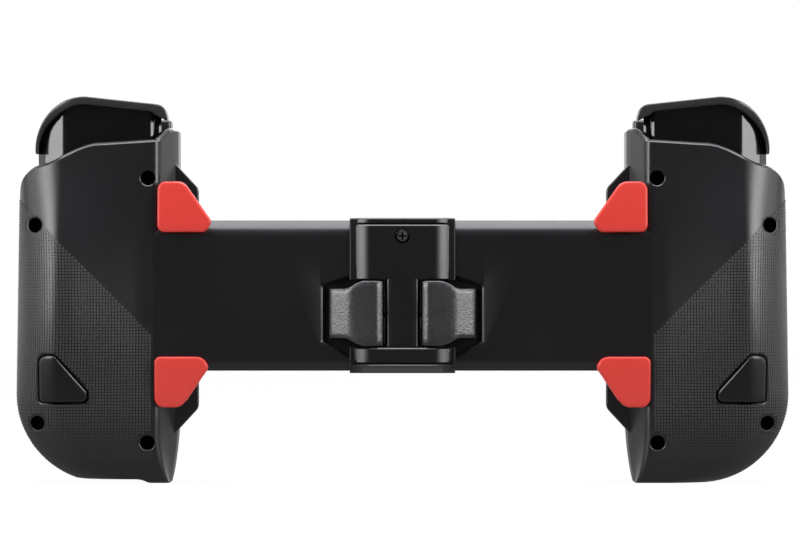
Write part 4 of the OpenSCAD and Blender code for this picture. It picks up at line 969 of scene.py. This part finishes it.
for side, name in halves:
    on_wall = rib_z[plug_gap] if side < 0 else rib_z
    plug_way = [bore(plug_line, [(55, 0), (66, 0)], 0)] if side < 0 else ()
    pad = mould(name + "_end_rubber", [back_pad, end_wall], side, cuts=plug_way)
    bars = ribs(rib_z, (0, 1), (58.6, 11.5), (61.6, 11.5))
    bars += ribs(on_wall, (-1, 0), (62.3, 12.4), (62.3, 19.2))
    settle(pad, name + "_grip", "rubber_black", rubber_black, name + "_end_pad")
    settle(mould(name + "_end_rubber_ribs", bars, side), name + "_grip", "rubber_black", rubber_black)


# Thumbsticks. A rubber cap with a knurled rim and a dished top stands on a neck.
# The neck widens into a hollow dome that covers the gimbal in every tilt.
dome_turn = np.radians(np.linspace(72, 25, 16))
dish_r = np.linspace(7.1, 0.05, 14)
dome_in, dome_out = (np.stack([r * np.sin(dome_turn), 13 + r * np.cos(dome_turn)], -1) for r in (10.6, 11.5))
cap_line = np.concatenate([
    [(0.05, 23.2)], dome_in[::-1], dome_out,
    [(4.6, 23.9), (4.45, 24.6), (4.4, 25.6), (4.55, 26.5), (5.1, 27.1), (6.2, 27.45), (7.9, 27.55),
     (8.7, 27.75), (9.05, 28.1), (9.2, 28.6), (9.2, 29.2), (9.2, 29.8), (9.05, 30.35), (8.75, 30.75),
     (8.3, 30.98), (7.8, 31.0), (7.4, 30.92)],
    np.stack([dish_r, 55 - np.sqrt(25.2 ** 2 - dish_r ** 2)], -1)])


def stick_rows(place):
    """The cap's profile turned round its axis; 60 ridges, 0.17 mm deep, ripple the rim's radius."""
    points = lathe(cap_line, (0, 0), 240)
    turn = np.arctan2(points[..., 2], points[..., 0])
    r, y = np.hypot(points[..., 0], points[..., 2]), points[..., 1]
    on_rim = np.clip((r - 8.6) / 0.4, 0, 1) * np.clip((y - 27.6) / 0.4, 0, 1)
    ridge = 0.17 * on_rim * (0.5 - 0.5 * np.cos(60 * turn))
    scale = (1 - ridge / r)[..., None]
    return points * np.concatenate([scale, 1 + 0 * scale, scale], -1) + (place[0], 0, place[1])


for side, name, stick in sticks:
    cap = mould(name + "_stick_rubber", [solid(stick_rows(stick))], side)
    settle(cap, name + "_stick", "rubber_black", rubber_black, name + "_stick_cap")


# Direction pad, face buttons and menu buttons. Glossy black caps without marks: the cross is dished in
# the middle, the round ones are slightly domed, and each keeps a flange behind the shell.
def pad_face(x, z):
    """Front of the cross, counted backwards: a round dish in the middle, arms that rise to their ends."""
    away = np.hypot(x - pad_at[0], z - pad_at[1])
    return -(24.1 - 0.9 * np.exp(-(away / 4.4) ** 2) + 0.3 * ease((away - 5) / 6))


pad_points, pad_faces = slab(dense(pad_cross(0), 0.35), pad_face, -18.2, 0.9, rings=7, infill=16)
pad_flange = lathe([(0.05, 18.35), (12.6, 18.35), (12.95, 18.1), (12.95, 17.5), (12.6, 17.35), (2.4, 17.35),
                    (2.2, 17), (2.2, 16.5), (1.6, 14.7), (0.05, 14.1)], pad_at, 48)
pad_cap = mould("dpad_cross", [(pad_points * (1, -1, 1), pad_faces), solid(pad_flange)])
settle(pad_cap, "dpad", "button_black", trigger_black, "dpad")


def button_line(r, foot):
    """Profile of a round button: stem, flange behind the shell, straight side and a 0.45 mm dome."""
    top = np.linspace(1, 0, 9)[1:-1]
    return np.concatenate([
        [(0.05, foot), (r - 0.8, foot), (r - 0.8, 18.9), (r + 1, 18.9), (r + 1, 20.05), (r, 20.05), (r, 23.0),
         (r - 0.06, 23.25), (r - 0.22, 23.45), (r - 0.5, 23.55)],
        np.stack([(r - 0.5) * top, 23.55 + 0.45 * (1 - top ** 2)], -1), [(0.05, 24)]])


round_buttons = [("face_button_up", -1, face_spots[0]), ("face_button_down", -1, face_spots[1]),
                 ("face_button_left", -1, face_spots[2]), ("face_button_right", -1, face_spots[3]),
                 ("view_button", 1, small_spots[0]), ("capture_button", 1, small_spots[1]),
                 ("menu_button", -1, small_spots[0]), ("home_button", -1, small_spots[1])]
for name, side, place in round_buttons:
    r, foot = (4, 10.2) if "face" in name else (2.4, 10.5)
    button = mould(name + "_cap", [solid(lathe(button_line(r, foot), place, 48))], side)
    settle(button, name, "button_black", trigger_black, name)


# Phone plug and charging socket. Drawn steel shells round a black tongue with gilt contacts.
# The plug stands in the right grip's inner wall, and the socket opens at that grip's foot.
gilt = metal("contact_gilt", (0.62, 0.4, 0.12), (0.78, 0.55, 0.22), scale=1800.0, detail=3.0, dull=0.2,
             spread=0.2)


def strips(centres, low, high, steps, axis):
    """Thin contact strips: a rectangle 0.32 mm wide carried along an axis at each of the centres across."""
    lines = [oblong(low, c - 0.16, high, c + 0.16) for c in centres]
    return [bore(line if axis == 0 else line[:, ::-1], steps, axis) for line in lines]


plug_base = bore(oblong(13.35, 45.55, 18.45, 57.45, [1.7]),
                 [(61.95, -0.5), (62.1, -0.15), (62.4, 0), (68.1, 0)], 0)
plug_tongue = bore(oblong(15.6, 48.5, 16.2, 54.5), [(61, 0), (56.8, 0), (56.6, -0.1)], 0)
plug_tip = bore(oblong(14.65, 47.35, 17.15, 55.65, [1.2]), [
    (63.3, 0), (56.1, 0), (55.75, -0.08), (55.55, -0.22), (55.55, -0.36), (55.75, -0.42), (61, -0.42)], 0)
plug_pins = strips(np.linspace(49, 54, 8), 15.55, 16.25, [(61, 0), (57, 0)], 0)
socket_shell = bore(socket_line, [(8.4, 0.4), (1.25, 0.4), (1.12, 0.3), (1.12, 0.1), (1.25, 0), (7.2, 0)], 2)
socket_tongue = bore(oblong(77.6, 14.2, 84, 14.8), [(7.3, 0), (2.4, 0), (2.2, -0.1)], 2)
socket_pins = strips(np.linspace(78.2, 83.4, 8), 14.15, 14.85, [(7.2, 0), (2.7, 0)], 2)
for name, skins, finish, *node in (
        ("phone_plug_base", [plug_base, plug_tongue], button_black),
        ("phone_plug_shell", [plug_tip], steel, "phone_plug"),
        ("phone_plug_contacts", plug_pins, gilt),
        ("charge_port_shell", [socket_shell], steel, "charge_port"),
        ("charge_port_tongue", [socket_tongue], black_and_painted_shade),
        ("charge_port_contacts", socket_pins, gilt)):
    settle(mould(name, skins, -1), "right_grip", "steel", finish, *node)


# Springs. Wound from round wire: two long ones pull the grips in, short ones return the squeeze buttons,
# and one round each trigger's pin has two legs.
spring_steel = metal("spring_steel", (0.3, 0.3, 0.31), (0.5, 0.5, 0.5), scale=2500.0, detail=3.0, dull=0.22,
                     spread=0.2)


def wire_tube(path, r):
    """Round wire along a path: rings of six points square to the path's direction."""
    run = unit(np.gradient(path, axis=0))
    across = unit(np.cross(run, (0.31, 0.95, 0.02)))
    up = np.cross(run, across)
    turn = np.linspace(0, 2 * np.pi, 6, endpoint=False)[None, :, None]
    return solid(path[:, None] + r * (np.cos(turn) * across[:, None] + np.sin(turn) * up[:, None]))


def helix(x0, x1, y, z, r, turns):
    """Points on a screw line of that radius along x."""
    t = np.linspace(0, 1, int(turns * 14))
    angle = 2 * np.pi * turns * t
    return np.stack([x0 + (x1 - x0) * t, y + r * np.cos(angle), z + r * np.sin(angle)], -1)


pin_coil = np.concatenate([[(79.7, 12.6, 88.9), (79.7, 14.6, 89.4)], helix(79.7, 82.7, 17, 90.6, 1.62, 6),
                           [(82.7, 14.6, 94.2)]])
for side, half in halves:
    for name, far, coil_r, turns, (x0, x1, y, z), finish in (
            ("pull_coil", "grip", 0.76, 52, (4.5, 45.7, 3, bridge_z + 14.2 * side), spring_steel),
            ("release_coil", "release", 0.85, 6, (4.5, 9.6, -1.4, pad_mid), black_steel)):
        piece = mould(f"{half}_{name}", [wire_tube(helix(x0, x1, y, z, coil_r, turns), 0.2)], side)
        piece.data.materials.clear()
        piece.data.materials.append(finish)
        start, end = ((side * x / 1000, (y - depth_origin) / 1000, z / 1000) for x in (x0, x1))
        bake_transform(piece)
        if far == "grip":
            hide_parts(half + "_pull_spring")
        elif side > 0:
            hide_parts("release_springs")
both("trigger_coil", [wire_tube(pin_coil, 0.24)], "grip", "steel", spring_steel, "trigger_spring")


# Flat cable. A polyimide ribbon with copper tracks joins the two boards through the rail.
# It runs in three lengths with two round folds, which gives it the length that the slide needs.
ribbon_amber, at = open_finish("ribbon_amber")
stripe = at.node("SeparateXYZ", None, {0: at}, out="Z") * 1600
line = abs(stripe.math("FRACT", stripe) - 0.5).step(0.2, 0.26)
at.surface({"Base Color": line.blend((0.34, 0.13, 0.022, 1), (0.5, 0.24, 0.05, 1)),
            "Roughness": at.noise(300.0, 3.0) * 0.2 + 0.22, "Normal": at.relief(line * 0.00003),
            "Specular IOR Level": 0.5})
fold_turn = np.linspace(-np.pi / 2, np.pi / 2, 13)
fold = 0.43 * np.stack([np.cos(fold_turn), np.sin(fold_turn)], -1)
ribbon_path = np.concatenate([
    np.linspace((-66.5, 5.62), (29.5, 5.62), 40), (29.5, 6.05) + fold,
    np.linspace((29.5, 6.48), (-29.5, 6.48), 30), (-29.5, 6.91) + fold * (-1, 1),
    np.linspace((-29.5, 7.34), (66.5, 7.34), 40)])
ribbon_path = ribbon_path[np.append(True, np.linalg.norm(np.diff(ribbon_path, axis=0), axis=1) > 1e-4)]
ribbon_out = unit(np.gradient(ribbon_path, axis=0))[:, ::-1] * (-1, 1)
ribbon_loop = [(0.09, 39.75), (0.12, 39.8), (0.12, 48.6), (0.09, 48.65),
               (-0.09, 48.65), (-0.12, 48.6), (-0.12, 39.8), (-0.09, 39.75)]
ribbon_rows = np.stack([np.insert(ribbon_path + ribbon_out * o, 2, z, axis=1) for o, z in ribbon_loop], 1)
settle(mould("flex_ribbon", [solid(ribbon_rows)]), "bridge", "cable_amber", ribbon_amber, "flex_cable")


# Works inside. The rail, the rack and pinion, the gimbals, pins, screws and boards keep the shape they are
# cut to. The rail is brushed along its length, the gears are pale nylon and the boards are lacquered green.
brushed = metal("rail_aluminium", (0.5, 0.5, 0.51), (0.68, 0.68, 0.69), scale=1.0, detail=4.0, dull=0.25,
                spread=0.25, ridge=0.00002, stretch=(40, 2600, 2600))
gear_nylon = plastic("gear_nylon", (0.64, 0.6, 0.5), 0.45, 0.4, 0.01, tone=0.12)
stick_nylon = plastic("stick_nylon", (0.32, 0.31, 0.29), 0.42, 0.35, 0.01, tone=0.15)
frame_black = plastic("gimbal_black", (0.014, 0.014, 0.015), 0.4, 0.3, 0.015)
board_green, at = open_finish("board_green")
cells = at.node("TexVoronoi", {"feature": "DISTANCE_TO_EDGE", "distance": "EUCLIDEAN"},
                {"Vector": at, "Scale": 420.0}, out="Distance")
copper = 1 - cells.step(0.04, 0.07)
at.surface({"Base Color": copper.blend((0.008, 0.075, 0.03, 1), (0.03, 0.17, 0.07, 1)),
            "Roughness": at.noise(700.0, 3.0) * 0.2 + 0.25, "Normal": at.relief(copper * 0.00003),
            "Specular IOR Level": 0.5})
works = [("slide_rail", brushed), ("rack", gear_nylon), ("pinion_pin", steel), ("pinion", gear_nylon),
         ("circuit_board", board_green), ("stick_base", frame_black), ("stick_rocker", frame_black),
         ("stick_yoke", stick_nylon), ("stick_lever", stick_nylon), ("dpad_pivot", stick_nylon),
         ("case_screws", black_steel), ("trigger_pin", steel)]
for key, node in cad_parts.items():
    finish = next((f for word, f in works if word in key), None)
    if finish and not node.hide_render:
        node.data.materials.clear()
        node.data.materials.append(finish)
